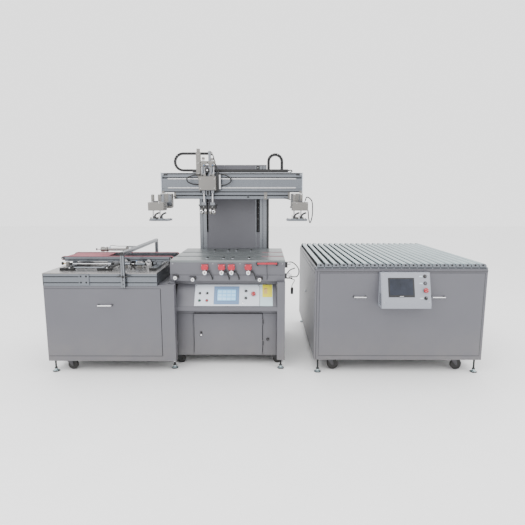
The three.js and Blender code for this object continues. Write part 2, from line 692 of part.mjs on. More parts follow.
function buildPrinter(line) {
  const module = groupAt(line, [PRINTER.centre, PRINTER.front, 0]);
  node('printer_base', printerBase(), PAINT, module);
  node('printer_door', printerDoor(), PAINT, module);
  node('table_apron', tableApron(), PAINT, module);
  node('table_top', tableTop(), STEEL, module);
  ADJUSTERS.forEach((x, i) => {
    node(`adjuster_knob_${i + 1}`, adjusterKnob(x), STEEL, module);
    node(`adjuster_lever_${i + 1}`, adjusterLever(x), BLACK, module);
  });
  node('column', column(), PAINT, module);
  node('gantry_carriage', gantryCarriage(), PAINT, module);
  node('beam', beam(), ALUMINIUM, module);
  node('print_head', printHead(), ALUMINIUM, module);
  node('flood_holder', bladeHolder(HOLDERS.flood), ALUMINIUM, module);
  node('squeegee_holder', bladeHolder(HOLDERS.squeegee), ALUMINIUM, module);
  node('cable_chain', cableChain(), BLACK, module);
  node('cable_arch', cableArch(), BLACK, module);
  for (const [name, side] of [['left', -1], ['right', 1]]) {
    node(`clamp_arm_${name}`, clampArm(side), ALUMINIUM, module);
    node(`clamp_jaw_${name}`, clampJaw(side), ALUMINIUM, module);
    const x = side * (PRINTER.halfWidth - PRINTER_CASTOR.x);
    const reach = CASTOR.width / 2 + 2 - GAP;
    const wheel = castorWheel([x, PRINTER_CASTOR.y], PRINTER_CASTOR.radius, PRINTER_CASTOR.clearance, reach);
    node(`printer_wheel_${name}`, wheel, RUBBER, module);
  }
  const slope = groupAt(module, [0, SLOPE.y, SLOPE.z], CONSOLE_TILT);
  node('control_face', controlFace(), WHITE, slope);
  for (const [name, { at, colour }] of Object.entries(BUTTONS)) {
    node(`button_${name}`, button(at), colour, slope);
  }
  for (const [name, at] of Object.entries(SELECTORS)) {
    node(`selector_${name}`, selector(at), BLACK, slope);
  }
  node('emergency_stop', stopButton(PRINTER_STOP), RED, slope);
}

// Outfeed module: powered rollers across the sheet's travel.
const OUTFEED_CASTOR = { radius: 50, clearance: 4, foot: 40, x: 178, y: 94 };
const OUTFEED_SIDES = ['left', 'right'];
const ROLLER = { radius: 19, height: 957, shaft: 7, count: 22, first: 40, pitch: 65, step: 4 };
const ROLLER_RAIL = { z: [OUTFEED.top + GAP, 972], thick: 14 };
const OUTFEED_CONSOLE = {
  x: [538, 947],
  back: -4 - 2 * GAP,
  topDepth: 40.8,
  lowDepth: 120.8,
  z: [615, 650, 905],
};
const OUTFEED_BUTTONS = {
  power: { at: [365, 234], colour: BLACK },
  run: { at: [365, 176], colour: PAINT },
};
const OUTFEED_STOP = [365, 116];
const OUTFEED_SELECTOR = [365, 52];

const rollerPlaces = Array.from({ length: ROLLER.count }, (_, i) => ROLLER.first + 5 + ROLLER.pitch * i);
const turns = (i) => i % ROLLER.step === 1;

function roller(x, shaftReach) {
  const { radius, height, shaft } = ROLLER;
  const inner = [ROLLER_RAIL.thick + 3, OUTFEED.depth - ROLLER_RAIL.thick - 3];
  const tube = bar('y', radius, inner, [x, height], 14);
  return tube.add(bar('y', shaft, [inner[0] - shaftReach, inner[1] + shaftReach], [x, height], 8));
}

// Rails along the front and back, joined by the rollers that share them.
function rollerBed() {
  const { width, depth } = OUTFEED;
  const { z, thick } = ROLLER_RAIL;
  const rails = [[0, thick], [depth - thick, depth]].map((ys) => box([4, width - 2], ys, z));
  const sides = [[4, 14], [width - 12, width - 2]].map((xs) => (
    box(xs, [thick - 1, depth - thick + 1], [z[0], 940])
  ));
  const fixed = rollerPlaces.filter((_, i) => !turns(i)).map((x) => roller(x, 8));
  const holes = rollerPlaces.filter((_, i) => turns(i)).map((x) => (
    bar('y', ROLLER.shaft + 1, [-1, depth + 1], [x, ROLLER.height], 10)
  ));
  return cut(fuse(rails, sides), holes).add(fuse(fixed));
}

function outfeedConsole() {
  const { x, back, topDepth, lowDepth, z } = OUTFEED_CONSOLE;
  const [top, low] = [back - topDepth, back - lowDepth];
  return prismX([[back, z[0]], [back, z[2]], [top, z[2]], [low, z[1]], [low, z[0]]], x);
}

function buildOutfeed(line) {
  const module = groupAt(line, [OUTFEED.left, OUTFEED.front, 0]);
  const { width, depth, top, panel } = OUTFEED;
  const rim = box([0, width], [-6, 30], [top - 10, top]);
  const legs = footings(OUTFEED, OUTFEED_CASTOR, OUTFEED_SIDES);
  node('outfeed_cabinet', fuse(shell(OUTFEED), legs, rim), PAINT, module);
  node('roller_bed', rollerBed(), STEEL, module);
  rollerPlaces.forEach((x, i) => {
    const name = `roller_${String(i + 1).padStart(2, '0')}`;
    if (turns(i)) node(name, roller(x, ROLLER_RAIL.thick), STEEL, module);
  });
  const sheet = box(panel.x, [-4 - GAP, -GAP], panel.z);
  const handles = [[324, 435], [983, 1099]].map(([x0, x1]) => barHandle(x0, x1, 690, -4));
  node('outfeed_front_panel', fuse(sheet, handles), PAINT, module);

  const { x, back, lowDepth, z } = OUTFEED_CONSOLE;
  const slopeFoot = [x[0], back - lowDepth, z[1]];
  const slope = groupAt(module, slopeFoot, OUTFEED_TILT);
  const places = [...Object.values(OUTFEED_BUTTONS).map(({ at }) => at), OUTFEED_STOP, OUTFEED_SELECTOR];
  const toModule = new THREE.Matrix4().makeRotationX(-OUTFEED_TILT).setPosition(...slopeFoot);
  const placed = (shape) => shape.transform(toModule.elements);
  const screen = box([58, 275], [-4, 1], [60, 222]);
  const consoleShape = cut(outfeedConsole().add(placed(screen)), places.map((at) => placed(pocket(at))));
  node('outfeed_console', consoleShape, PAINT, module);
  for (const [name, { at, colour }] of Object.entries(OUTFEED_BUTTONS)) {
    node(`outfeed_button_${name}`, button(at), colour, slope);
  }
  node('outfeed_emergency_stop', stopButton(OUTFEED_STOP), RED, slope);
  node('outfeed_selector', selector(OUTFEED_SELECTOR), BLACK, slope);
  frontWheels(module, 'outfeed', width, OUTFEED_CASTOR, OUTFEED_SIDES);
}

const line = new THREE.Group();
buildInfeed(line);
buildPrinter(line);
buildOutfeed(line);

export default line;
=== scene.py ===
import math

import bmesh
import bpy
from mathutils import Matrix, Vector


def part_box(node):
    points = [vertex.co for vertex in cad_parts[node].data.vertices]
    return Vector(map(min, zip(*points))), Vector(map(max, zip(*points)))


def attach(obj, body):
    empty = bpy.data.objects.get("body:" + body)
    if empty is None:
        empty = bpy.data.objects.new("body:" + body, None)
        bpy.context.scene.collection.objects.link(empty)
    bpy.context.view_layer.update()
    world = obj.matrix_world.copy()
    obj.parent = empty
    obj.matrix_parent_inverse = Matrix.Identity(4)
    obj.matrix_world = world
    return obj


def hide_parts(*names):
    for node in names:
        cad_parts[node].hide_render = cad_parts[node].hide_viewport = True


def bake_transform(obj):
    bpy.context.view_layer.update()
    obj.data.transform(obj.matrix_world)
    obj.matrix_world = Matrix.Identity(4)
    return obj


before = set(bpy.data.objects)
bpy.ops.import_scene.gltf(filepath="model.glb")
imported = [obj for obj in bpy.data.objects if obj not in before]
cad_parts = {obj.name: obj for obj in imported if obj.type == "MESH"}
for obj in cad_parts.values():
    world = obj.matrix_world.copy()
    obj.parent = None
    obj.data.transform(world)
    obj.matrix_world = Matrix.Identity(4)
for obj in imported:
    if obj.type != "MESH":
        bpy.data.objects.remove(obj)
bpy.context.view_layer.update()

MM = 0.001
X, Y, Z = 0, 1, 2


# ---------------------------------------------------------------- module frames
def module(node, corner):
    """Local millimetres to row metres; corner is where the node's lowest corner stands in the module."""
    low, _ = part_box(node)
    place = Matrix.Translation((low.x - corner[0] * MM, low.y - corner[1] * MM, 0))
    return place @ Matrix.Scale(MM, 4)


def tilted(base, origin, degrees):
    """A frame at origin in base, leaning back about X: its face is y = 0 and its z runs up the slope."""
    return base @ Matrix.Translation(origin) @ Matrix.Rotation(math.radians(-degrees), 4, "X")


INFEED = module("infeed_top_plate", (-2, 2))
PRINTER = module("table_top", (-505, 50))
OUTFEED = module("roller_bed", (4, 0))
CONTROL = tilted(PRINTER, (0, 8, 572.3), 33.5)
OUTFEED_BACK = -4.6
OUTFEED_SLOPE_FOOT = OUTFEED_BACK - 120.8
OUTFEED_CONTROL = tilted(OUTFEED, (538, OUTFEED_SLOPE_FOOT, 650), 17.4)


# ---------------------------------------------------------------- materials
def srgb(*levels):
    """8-bit display levels to a linear colour."""
    return tuple((v / 255 / 12.92) if v < 10 else ((v / 255 + 0.055) / 1.055) ** 2.4 for v in levels)


def surface(name, colour, roughness, metallic=0.0, mottle=0.04, grain=900.0, bump=0.15, depth=0.2,
            stretch=(1, 1, 1), spread=0.08, dust=0.0, weave=0.0, blotch=3.0, **sockets):
    """A procedural finish: mottled colour, grained roughness and bump, and dust towards the floor."""
    material = bpy.data.materials.new(name)
    material.use_nodes = True
    nodes, links = material.node_tree.nodes, material.node_tree.links
    shader = nodes["Principled BSDF"]
    shader.inputs["Metallic"].default_value = metallic
    for socket, value in sockets.items():
        shader.inputs[socket.replace("_", " ")].default_value = value
    where = nodes.new("ShaderNodeTexCoord").outputs["Object"]

    def noise(scale, detail, vector):
        node = nodes.new("ShaderNodeTexNoise")
        node.inputs["Scale"].default_value = scale
        node.inputs["Detail"].default_value = detail
        links.new(vector, node.inputs["Vector"])
        return node.outputs["Fac"]

    def ranged(value, low, high, start=0.3, end=0.7):
        node = nodes.new("ShaderNodeMapRange")
        for socket, number in (("From Min", start), ("From Max", end), ("To Min", low), ("To Max", high)):
            node.inputs[socket].default_value = number
        links.new(value, node.inputs["Value"])
        return node.outputs["Result"]

    def mixed(factor, first, second):
        node = nodes.new("ShaderNodeMix")
        node.data_type = "RGBA"
        links.new(factor, node.inputs["Factor"])
        for socket, value in (("A", first), ("B", second)):
            target = next(s for s in node.inputs if s.name == socket and s.type == "RGBA")
            if isinstance(value, tuple):
                target.default_value = (*value, 1)
            else:
                links.new(value, target)
        return next(s for s in node.outputs if s.type == "RGBA")

    mapping = nodes.new("ShaderNodeMapping")
    mapping.inputs["Scale"].default_value = stretch
    links.new(where, mapping.inputs["Vector"])
    fine = noise(grain, 3.0, mapping.outputs["Vector"])
    broad = noise(blotch, 4.0, where)
    dark = tuple(c * (1 - mottle) for c in colour)
    light = tuple(min(c * (1 + mottle), 1.0) for c in colour)
    base = mixed(ranged(broad, 0, 1), dark, light)
    if mottle:
        base = mixed(ranged(fine, 0, min(mottle * 4, 0.5)), base, tuple(c * 0.8 for c in colour))
    if dust:
        split = nodes.new("ShaderNodeSeparateXYZ")
        links.new(where, split.inputs["Vector"])
        low_down = ranged(split.outputs["Z"], dust, 0.0, 0.05, 0.45)
        patchy = nodes.new("ShaderNodeMath")
        patchy.operation = "MULTIPLY"
        links.new(low_down, patchy.inputs[0])
        links.new(ranged(noise(9.0, 6.0, where), 0.4, 1.0), patchy.inputs[1])
        base = mixed(patchy.outputs["Value"], base, srgb(126, 120, 112))
    links.new(base, shader.inputs["Base Color"])
    links.new(ranged(fine, max(roughness - spread, 0.02), min(roughness + spread, 1)), shader.inputs["Roughness"])
    height = fine
    if weave:
        waves = []
        for direction in ("X", "Y"):
            wave = nodes.new("ShaderNodeTexWave")
            wave.bands_direction = direction
            wave.inputs["Scale"].default_value = weave
            links.new(where, wave.inputs["Vector"])
            waves.append(wave.outputs["Fac"])
        crossed = nodes.new("ShaderNodeMath")
        crossed.operation = "MAXIMUM"
        links.new(waves[0], crossed.inputs[0])
        links.new(waves[1], crossed.inputs[1])
        height = crossed.outputs["Value"]
    bumps = nodes.new("ShaderNodeBump")
    bumps.inputs["Strength"].default_value = bump
    bumps.inputs["Distance"].default_value = depth * MM
    links.new(height, bumps.inputs["Height"])
    links.new(bumps.outputs["Normal"], shader.inputs["Normal"])
    return material


PAINT = surface("powder_coat", srgb(91, 91, 97), 0.42, 0.15, 0.035, 1300, 0.25, 0.12, dust=0.3)
# A darker copy of the powder coat: the own colour of darker parts, and painted shade where it fills gaps and lines the
# undersides of ledges and lips.
PAINT_DARK_AND_SHADE = surface("powder_coat_dark_and_shade", srgb(64, 63, 66), 0.5, 0.1, 0.04, 1300, 0.25, 0.12)
# White enamel for white parts; the same white also serves as painted highlight on the cross beam's top edge and end
# plates.
WHITE = surface("white_enamel_and_highlight", srgb(192, 197, 206), 0.34, 0.0, 0.02, 1100, 0.12, 0.08, Coat_Weight=0.2)
ALUMINIUM = surface("anodised_x", srgb(112, 116, 122), 0.3, 0.85, 0.03, 1400, 0.12, 0.06, (0.03, 1, 1))
ALUMINIUM_Y = surface("anodised_y", srgb(124, 127, 132), 0.3, 0.85, 0.03, 1400, 0.12, 0.06, (1, 0.03, 1))
ALUMINIUM_Z = surface("anodised_z", srgb(122, 125, 130), 0.3, 0.85, 0.03, 1400, 0.12, 0.06, (1, 1, 0.03))
CAST = surface("blasted_aluminium", srgb(118, 116, 113), 0.42, 0.7, 0.05, 700, 0.35, 0.2)
PLATE = surface("ground_steel", srgb(132, 130, 129), 0.27, 0.9, 0.06, 1000, 0.12, 0.05, (0.04, 1, 1), 0.1)
TABLE = surface("table_steel", srgb(116, 121, 122), 0.36, 0.7, 0.08, 900, 0.15, 0.06, (1, 0.04, 1), 0.12)
STEEL = surface("bright_steel", srgb(196, 196, 198), 0.22, 1.0, 0.04, 900, 0.1, 0.05)
CHROME = surface("chrome", srgb(232, 232, 234), 0.09, 1.0, 0.02, 600, 0.05, 0.03, spread=0.04)
ZINC = surface("zinc_roller", srgb(158, 174, 178), 0.24, 0.8, 0.06, 700, 0.2, 0.08, (0.03, 1, 0.03), 0.12)
RED = surface("red_anodised", srgb(164, 26, 46), 0.3, 0.25, 0.06, 800, 0.12, 0.06, Coat_Weight=0.3)
RED_PLASTIC = surface("red_plastic", srgb(150, 12, 26), 0.33, 0.0, 0.04, 900, 0.1, 0.06, Coat_Weight=0.3)
GREEN = surface("green_plastic", srgb(8, 70, 50), 0.33, 0.0, 0.04, 900, 0.1, 0.06)
BLACK = surface("black_plastic", srgb(18, 18, 20), 0.42, 0.0, 0.12, 1400, 0.3, 0.12)
GLOSS = surface("black_cap", srgb(10, 10, 11), 0.16, 0.0, 0.08, 900, 0.05, 0.04, Coat_Weight=0.4)
RUBBER = surface("rubber", srgb(12, 12, 13), 0.6, 0.0, 0.2, 500, 0.5, 0.4, dust=0.05)
CABLE = surface("cable_jacket", srgb(12, 12, 13), 0.4, 0.0, 0.1, 1200, 0.15, 0.08)
BELT = surface("woven_belt", srgb(138, 74, 84), 0.75, 0.0, 0.08, 700, 0.5, 0.3, weave=260)
BELT_EDGE = surface("belt_edge", srgb(84, 46, 56), 0.8, 0.0, 0.1, 700, 0.4, 0.2)
SCREEN_BEZEL = surface("screen_bezel", srgb(96, 124, 158), 0.4, 0.0, 0.03, 1200, 0.15, 0.08)
SCREEN_LIT = surface("screen_lit", srgb(112, 176, 222), 0.16, 0.0, 0.02, 900, 0.02, 0.02, Coat_Weight=0.6)
SCREEN_TILE = surface("screen_tile", srgb(150, 200, 234), 0.18, 0.0, 0.02, 900, 0.02, 0.02, Coat_Weight=0.6)
SCREEN_DARK = surface("screen_dark", srgb(38, 42, 52), 0.3, 0.0, 0.3, 900, 0.02, 0.02, blotch=14,
                      Specular_IOR_Level=0.25)
YELLOW = surface("yellow_card", srgb(206, 196, 36), 0.6, 0.0, 0.06, 900, 0.1, 0.06)
CONSOLE = surface("console_enamel", srgb(132, 135, 144), 0.36, 0.0, 0.02, 1100, 0.12, 0.08, Coat_Weight=0.15)
POCKET = surface("clear_pocket", srgb(176, 196, 202), 0.25, 0.0, 0.05, 500, 0.1, 0.1, Coat_Weight=0.5)
SHADOW = surface("dark_inside", srgb(12, 12, 13), 0.8, 0.0, 0.2, 500, 0.2, 0.2)
BRASS = surface("brass", srgb(188, 160, 100), 0.3, 1.0, 0.08, 900, 0.1, 0.05)
BLUE = surface("blue_fitting", srgb(70, 110, 160), 0.35, 0.0, 0.05, 900, 0.1, 0.05)


# ---------------------------------------------------------------- pieces
class Piece:
    """One mesh of bevelled shapes, given in a module's millimetres, that rides on a CAD body."""

    def __init__(self, name, body, at, material):
        self.name, self.body, self.at = name, body, at
        self.bm = bmesh.new()
        self.materials = []
        self.use(material)

    def use(self, material):
        if material not in self.materials:
            self.materials.append(material)
        self.index = self.materials.index(material)
        return self

    def add(self, shape, at=None):
        for face in shape.faces:
            face.material_index = self.index
            face.smooth = True
        shape.transform(at or self.at)
        carrier = bpy.data.meshes.new("carrier")
        shape.to_mesh(carrier)
        shape.free()
        self.bm.from_mesh(carrier)
        bpy.data.meshes.remove(carrier)
        return self

    def box(self, x, y, z, bevel=1.0, segments=2, at=None):
        shape = bmesh.new()
        spans = (x, y, z)
        place = Matrix.Translation([sum(s) / 2 for s in spans])
        size = Matrix.Diagonal([*(abs(s[1] - s[0]) for s in spans), 1])
        bmesh.ops.create_cube(shape, size=1, matrix=place @ size)
        return self.add(bevelled(shape, bevel, segments), at)

    def boxes(self, bevel, *spans):
        for x, y, z in spans:
            self.box(x, y, z, bevel)
        return self

    def turned(self, axis, outline, across, sides=32, at=None):
        """A solid of revolution: outline is (radius, place along the axis), across the other two places."""
        shape = bmesh.new()
        rings = []
        for radius, along in outline:
            if radius < 1e-6:
                rings.append([shape.verts.new(spot(axis, along, across))])
                continue
            ring = []
            for i in range(sides):
                turn = 2 * math.pi * i / sides
                reach = (across[0] + radius * math.cos(turn), across[1] + radius * math.sin(turn))
                ring.append(shape.verts.new(spot(axis, along, reach)))
            rings.append(ring)
        for first, second in zip(rings, rings[1:]):
            for i in range(sides):
                j = (i + 1) % sides
                corners = [first[i % len(first)], first[j % len(first)],
                           second[j % len(second)], second[i % len(second)]]
                unique = list(dict.fromkeys(corners))
                if len(unique) > 2:
                    shape.faces.new(unique)
        for ring in (rings[0], rings[-1]):
            if len(ring) > 2:
                shape.faces.new(ring)
        bmesh.ops.recalc_face_normals(shape, faces=shape.faces)
        return self.add(shape, at)

    def bar(self, axis, radius, span, across, sides=32, bevel=0.8, at=None):
        low, high = min(span), max(span)
        soft = min(bevel, radius * 0.4, (high - low) * 0.4)
        outline = [(0, low), (radius - soft, low), (radius - soft * 0.3, low + soft * 0.3), (radius, low + soft),
                   (radius, high - soft), (radius - soft * 0.3, high - soft * 0.3), (radius - soft, high), (0, high)]
        return self.turned(axis, outline, across, sides, at)

    def prism(self, axis, outline, span, bevel=1.0, at=None):
        """An outline on the other two axes, carried along this one."""
        shape = bmesh.new()
        ends = [[shape.verts.new(spot(axis, along, corner)) for corner in outline] for along in span]
        shape.faces.new(ends[0])
        shape.faces.new(ends[1][::-1])
        count = len(outline)
        for i in range(count):
            j = (i + 1) % count
            shape.faces.new([ends[0][i], ends[0][j], ends[1][j], ends[1][i]])
        bmesh.ops.recalc_face_normals(shape, faces=shape.faces)
        return self.add(bevelled(shape, bevel, 2), at)

    def slotted(self, axis, centre, size, span, slot=8.2):
        """An aluminium extrusion with a groove down each face."""
        half, depth, wide = size / 2, size * 0.2, slot / 2
        quarter = [(-wide, -half), (-wide, -half + 2.2), (-wide - 3.5, -half + 2.2), (-wide, -half + depth),
                   (wide, -half + depth), (wide + 3.5, -half + 2.2), (wide, -half + 2.2), (wide, -half),
                   (half - 1, -half), (half, -half + 1)]
        outline = []
        for turn in range(4):
            cos, sin = round(math.cos(turn * math.pi / 2)), round(math.sin(turn * math.pi / 2))
            outline += [(centre[0] + a * cos - b * sin, centre[1] + a * sin + b * cos) for a, b in quarter]
        return self.prism(axis, outline, span, 0)

    def tube(self, points, radius, sides=12, at=None):
        """A round tube on a smooth curve through its points."""
        path = smooth_path([Vector(p) for p in points])
        shape = bmesh.new()
        side = None
        rings = []
        for i, point in enumerate(path):
            ahead = (path[min(i + 1, len(path) - 1)] - path[max(i - 1, 0)]).normalized()
            if side is None:
                side = ahead.orthogonal().normalized()
            side = (side - ahead * side.dot(ahead)).normalized()
            other = ahead.cross(side)
            rings.append([
                shape.verts.new(point + (side * math.cos(t) + other * math.sin(t)) * radius)
                for t in (2 * math.pi * k / sides for k in range(sides))
            ])
        for first, second in zip(rings, rings[1:]):
            for k in range(sides):
                j = (k + 1) % sides
                shape.faces.new([first[k], first[j], second[j], second[k]])
        shape.faces.new(rings[0])
        shape.faces.new(rings[-1][::-1])
        bmesh.ops.recalc_face_normals(shape, faces=shape.faces)
        return self.add(shape, at)

    def bolt(self, axis, at_face, across, radius=4.5, height=4.0, material=None, at=None):
        """A socket-head screw; a negative height stands towards the axis's low side."""
        before = self.materials[self.index]
        self.use(material or STEEL).bar(axis, radius, (at_face, at_face + height), across, 16, 0.6, at)
        tip = at_face + height
        step = math.copysign(0.3, height)
        self.use(SHADOW).bar(axis, radius * 0.5, (tip - step * 6, tip + step), across, 6, 0.1, at)
        return self.use(before)

    def done(self, *replaced):
        mesh = bpy.data.meshes.new(self.name)
        self.bm.to_mesh(mesh)
        self.bm.free()
        for material in self.materials:
            mesh.materials.append(material)
        mesh.set_sharp_from_angle(angle=math.radians(42))
        piece = bpy.data.objects.new(self.name, mesh)
        bpy.context.scene.collection.objects.link(piece)
        normals = piece.modifiers.new("normals", "WEIGHTED_NORMAL")
        normals.keep_sharp = True
        if self.body:
            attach(piece, self.body)
        if replaced:
            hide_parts(*replaced)
        return piece


def spot(axis, along, across):
    place = list(across)
    place.insert(axis, along)
    return Vector(place)


def bevelled(shape, width, segments):
    if width > 0:
        bmesh.ops.dissolve_limit(shape, angle_limit=math.radians(1), verts=shape.verts, edges=shape.edges)
        sharp = [e for e in shape.edges if len(e.link_faces) == 2 and e.calc_face_angle() > math.radians(20)]
        bmesh.ops.bevel(shape, geom=sharp, offset=width, segments=segments, profile=0.6,
                        affect="EDGES", clamp_overlap=True)
    return shape


def smooth_path(points, steps=8):
    """A Catmull-Rom curve through the points."""
    padded = [points[0] * 2 - points[1], *points, points[-1] * 2 - points[-2]]
    path = []
    for a, b, c, d in zip(padded, padded[1:], padded[2:], padded[3:]):
        for k in range(steps):
            t = k / steps
            path.append(0.5 * ((2 * b) + (c - a) * t + (2 * a - 5 * b + 4 * c - d) * t ** 2
                               + (3 * b - a - 3 * c + d) * t ** 3))
    path.append(points[-1])
    return path


def softened(name, node, body, material, width=0.8):
    """A copy of a flat-sided CAD node with its edges rounded, in place of the node."""
    shape = bmesh.new()
    shape.from_mesh(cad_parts[node].data)
    bmesh.ops.remove_doubles(shape, verts=shape.verts, dist=1e-6)
    piece = Piece(name, body, PRINTER, material)
    piece.add(bevelled(shape, width * MM, 2), Matrix.Identity(4))
    return piece


# ---------------------------------------------------------------- shared fittings
def foot(piece, x, y, height):
    """A levelling foot: rubber pad, zinc dome, threaded stud and locknut."""
    piece.use(RUBBER).turned(Z, [(0, 0), (28, 0), (30, 2), (30, 6), (27, 8), (0, 8)], (x, y), 40)
    piece.use(ZINC).turned(Z, [(0, 7), (26, 7), (25, 10), (17, 14), (12, 20), (10.5, 26), (0, 26)], (x, y), 40)
    piece.use(BLACK)
    thread = [(0, 24)]
    level = 25.0
    while level < height - 12:
        thread += [(8, level), (7, level + 1.6)]
        level += 3.2
    piece.turned(Z, [*thread, (7, height - 10), (0, height - 10)], (x, y), 20)
    piece.use(BLACK).bar(Z, 15, (height - 14, height - 1), (x, y), 6, 1)
    piece.bar(Z, 14, (26, 36), (x, y), 6, 1)


def castor_fork(piece, x, y, radius, height, material):
    """A pressed fork under a swivel head; the wheel trails towards +X."""
    axle, pivot = radius + 4, x - 38
    crown = radius * 2 + 7
    piece.use(material)
    for side in (-1, 1):
        ys = sorted((y + side * 16.5, y + side * 21))
        outline = [(pivot - 14, crown + 4), (pivot - 10, crown - 12), (x - 7, axle - 7), (x + 7, axle - 7),
                   (x + 8, axle + 4), (x - 2, crown + 4)]
        piece.prism(Y, outline, ys, 1)
        piece.bar(Y, 9, sorted((y + side * 17, y + side * 24)), (x, axle), 6)
    piece.box((pivot - 22, x + 12), (y - 21, y + 21), (crown, crown + 5), 1.5)
    piece.turned(Z, [(0, crown + 4), (24, crown + 4), (26, crown + 8), (22, height - 2), (22, height), (0, height)],
                 (pivot, y))
    piece.box((pivot - 32, pivot + 32), (y - 30, y + 30), (height - 3, height + 1), 1)


def castor_wheel(piece, x, y, radius):
    """A rubber tyre on a grey hub, turned about Y."""
    half, axle = 14, radius + 4
    tread = [(radius * 0.62, y - half + 1), (radius - 7, y - half), (radius - 2.5, y - half + 2.5),
             (radius, y - half + 8), (radius, y + half - 8), (radius - 2.5, y + half - 2.5),
             (radius - 7, y + half), (radius * 0.62, y + half - 1)]
    piece.use(RUBBER).turned(Y, tread, (x, axle), 48)
    hub = [(0, y - 9), (9, y - 9), (10, y - 5), (radius * 0.5, y - 4), (radius * 0.58, y - half + 1.5),
           (radius * 0.64, y - half + 1.5), (radius * 0.64, y + half - 1.5), (radius * 0.58, y + half - 1.5),
           (radius * 0.5, y + 4), (10, y + 5), (9, y + 9), (0, y + 9)]
    piece.use(PAINT_DARK_AND_SHADE).turned(Y, hub, (x, axle), 40)
    piece.use(STEEL).bar(Y, 6.5, (y - 15, y + 15), (x, axle), 20)
    piece.bar(Y, 3.2, (y - 16.4, y + 16.4), (x, axle), 6, 0.3)


def sheet_face(piece, plane, out, spans, rim=34, seam=3):
    """A framed cabinet side: a flush rim, a recessed wall and a flush panel with screws in its corners."""
    (a0, a1), (b0, b1) = spans
    axis = X if plane[0] == "x" else Y
    inner = out - math.copysign(3, plane[1])
    back = out - math.copysign(12, plane[1])

    def slab(a, b, depth, bevel):
        along = sorted(depth)
        if axis == X:
            piece.box(along, a, b, bevel)
        else:
            piece.box(a, along, b, bevel)

    piece.use(PAINT)
    for a, b in (((a0, a0 + rim), (b0, b1)), ((a1 - rim, a1), (b0, b1)),
                 ((a0 + rim, a1 - rim), (b0, b0 + rim)), ((a0 + rim, a1 - rim), (b1 - rim, b1))):
        slab(a, b, (back, out), 0.6)
    slab((a0 + rim, a1 - rim), (b0 + rim, b1 - rim), (back, inner), 0)
    panel = ((a0 + rim + seam, a1 - rim - seam), (b0 + rim + seam, b1 - rim - seam))
    slab(*panel, (inner - math.copysign(1, plane[1]), out), 1.2)
    for a in (panel[0][0] + 16, (panel[0][0] + panel[0][1]) / 2, panel[0][1] - 16):
        for b in (panel[1][0] + 16, panel[1][1] - 16):
            piece.bolt(axis, out - math.copysign(2, plane[1]), (a, b), 5, math.copysign(1.8, plane[1]))


def cabinet(piece, width, depth, bottom, top, window):
    """The shell of a module, open at the bottom, with a window behind its lift-off front panel."""
    (wx0, wx1), (wz0, wz1) = window
    sheet_face(piece, ("x", -1), 0, ((1, depth - 1), (bottom, top)))
    sheet_face(piece, ("x", 1), width, ((1, depth - 1), (bottom, top)))
    sheet_face(piece, ("y", 1), depth, ((0.6, width - 0.6), (bottom, top - 0.6)))
    piece.use(PAINT).boxes(
        0.8,
        ((0.6, wx0), (0, 12), (bottom, top - 0.6)), ((wx1, width - 0.6), (0, 12), (bottom, top - 0.6)),
        ((wx0, wx1), (0.3, 12), (bottom, wz0)), ((wx0, wx1), (0.3, 12), (wz1, top - 0.6)),
        ((6, width - 6), (6, depth - 6), (top - 12, top)),
    )
    piece.use(PAINT_DARK_AND_SHADE)
    for x in (wx0, wx1 - 6):
        piece.box((x - 2, x + 8), (10, 24), (wz0 - 10, wz1 + 10), 0.6)


def front_panel(piece, x, z):
    """A folded sheet that hangs on the cabinet, over a dark strip of painted shade that stands in for the shadow in the
    seam round it.
    """
    piece.use(PAINT).box(x, (-4.3, -0.8), z, 1.6, 3)
    # Painted shade: the dark strip round the sheet shows the seam's shadow.
    piece.use(SHADOW).box((x[0] - 1.5, x[1] + 4), (-1.2, -0.3), (z[0] - 4, z[1] + 1.5), 0)


def pull_handle(piece, x0, x1, z):
    """A bent steel pull on two feet."""
    piece.use(CHROME)
    y = -4
    path = [(x0 + 5, y + 1, z), (x0 + 5, y - 24, z), (x0 + 8, y - 31, z), (x0 + 15, y - 34, z),
            (x1 - 15, y - 34, z), (x1 - 8, y - 31, z), (x1 - 5, y - 24, z), (x1 - 5, y + 1, z)]
    piece.tube(path, 4.6, 14)
    for x in (x0 + 5, x1 - 5):
        piece.use(BLACK).turned(Y, [(0, y + 0.2), (9.5, y + 0.2), (9.5, y - 2), (7, y - 4), (0, y - 4)], (x, z), 24)


def bezel(piece, x, z, at, outer=16.5):
    """The black ring round a control; it stands off the panel's face."""
    piece.use(GLOSS).turned(Y, [(11.8, 0.6), (outer, 0.6), (outer, -1.6), (outer - 1.4, -3), (11.8, -3), (11.8, 0.6)],
                             (x, z), 36, at)
    piece.use(SHADOW).bar(Y, 11.9, (0.4, 8.5), (x, z), 24, 0.2, at)


def push_button(name, node, at, x, z, colour):
    piece = Piece(name, node, at, GLOSS)
    piece.turned(Y, [(0, 3), (11.2, 3), (11.2, -5.5), (10.6, -6.6), (9.4, -7), (9, -6.2), (0, -6.4)], (x, z), 36)
    piece.use(colour).turned(Y, [(0, -5), (8.8, -5), (8.8, -7), (7.6, -7.8), (0, -8)], (x, z), 36)
    piece.done(node)


def turn_switch(name, node, at, x, z):
    piece = Piece(name, node, at, GLOSS)
    piece.turned(Y, [(0, 3), (11.2, 3), (11.2, -6), (10.2, -7.8), (0, -8)], (x, z), 36)
    grip = [(x - 3.4, z - 10), (x + 3.4, z - 10), (x + 3.4, z + 7), (x, z + 10), (x - 3.4, z + 7)]
    piece.prism(Y, grip, (-17.6, -7), 0.8)
    piece.use(WHITE).box((x - 0.7, x + 0.7), (-18, -17), (z + 2, z + 9), 0)
    piece.done(node)


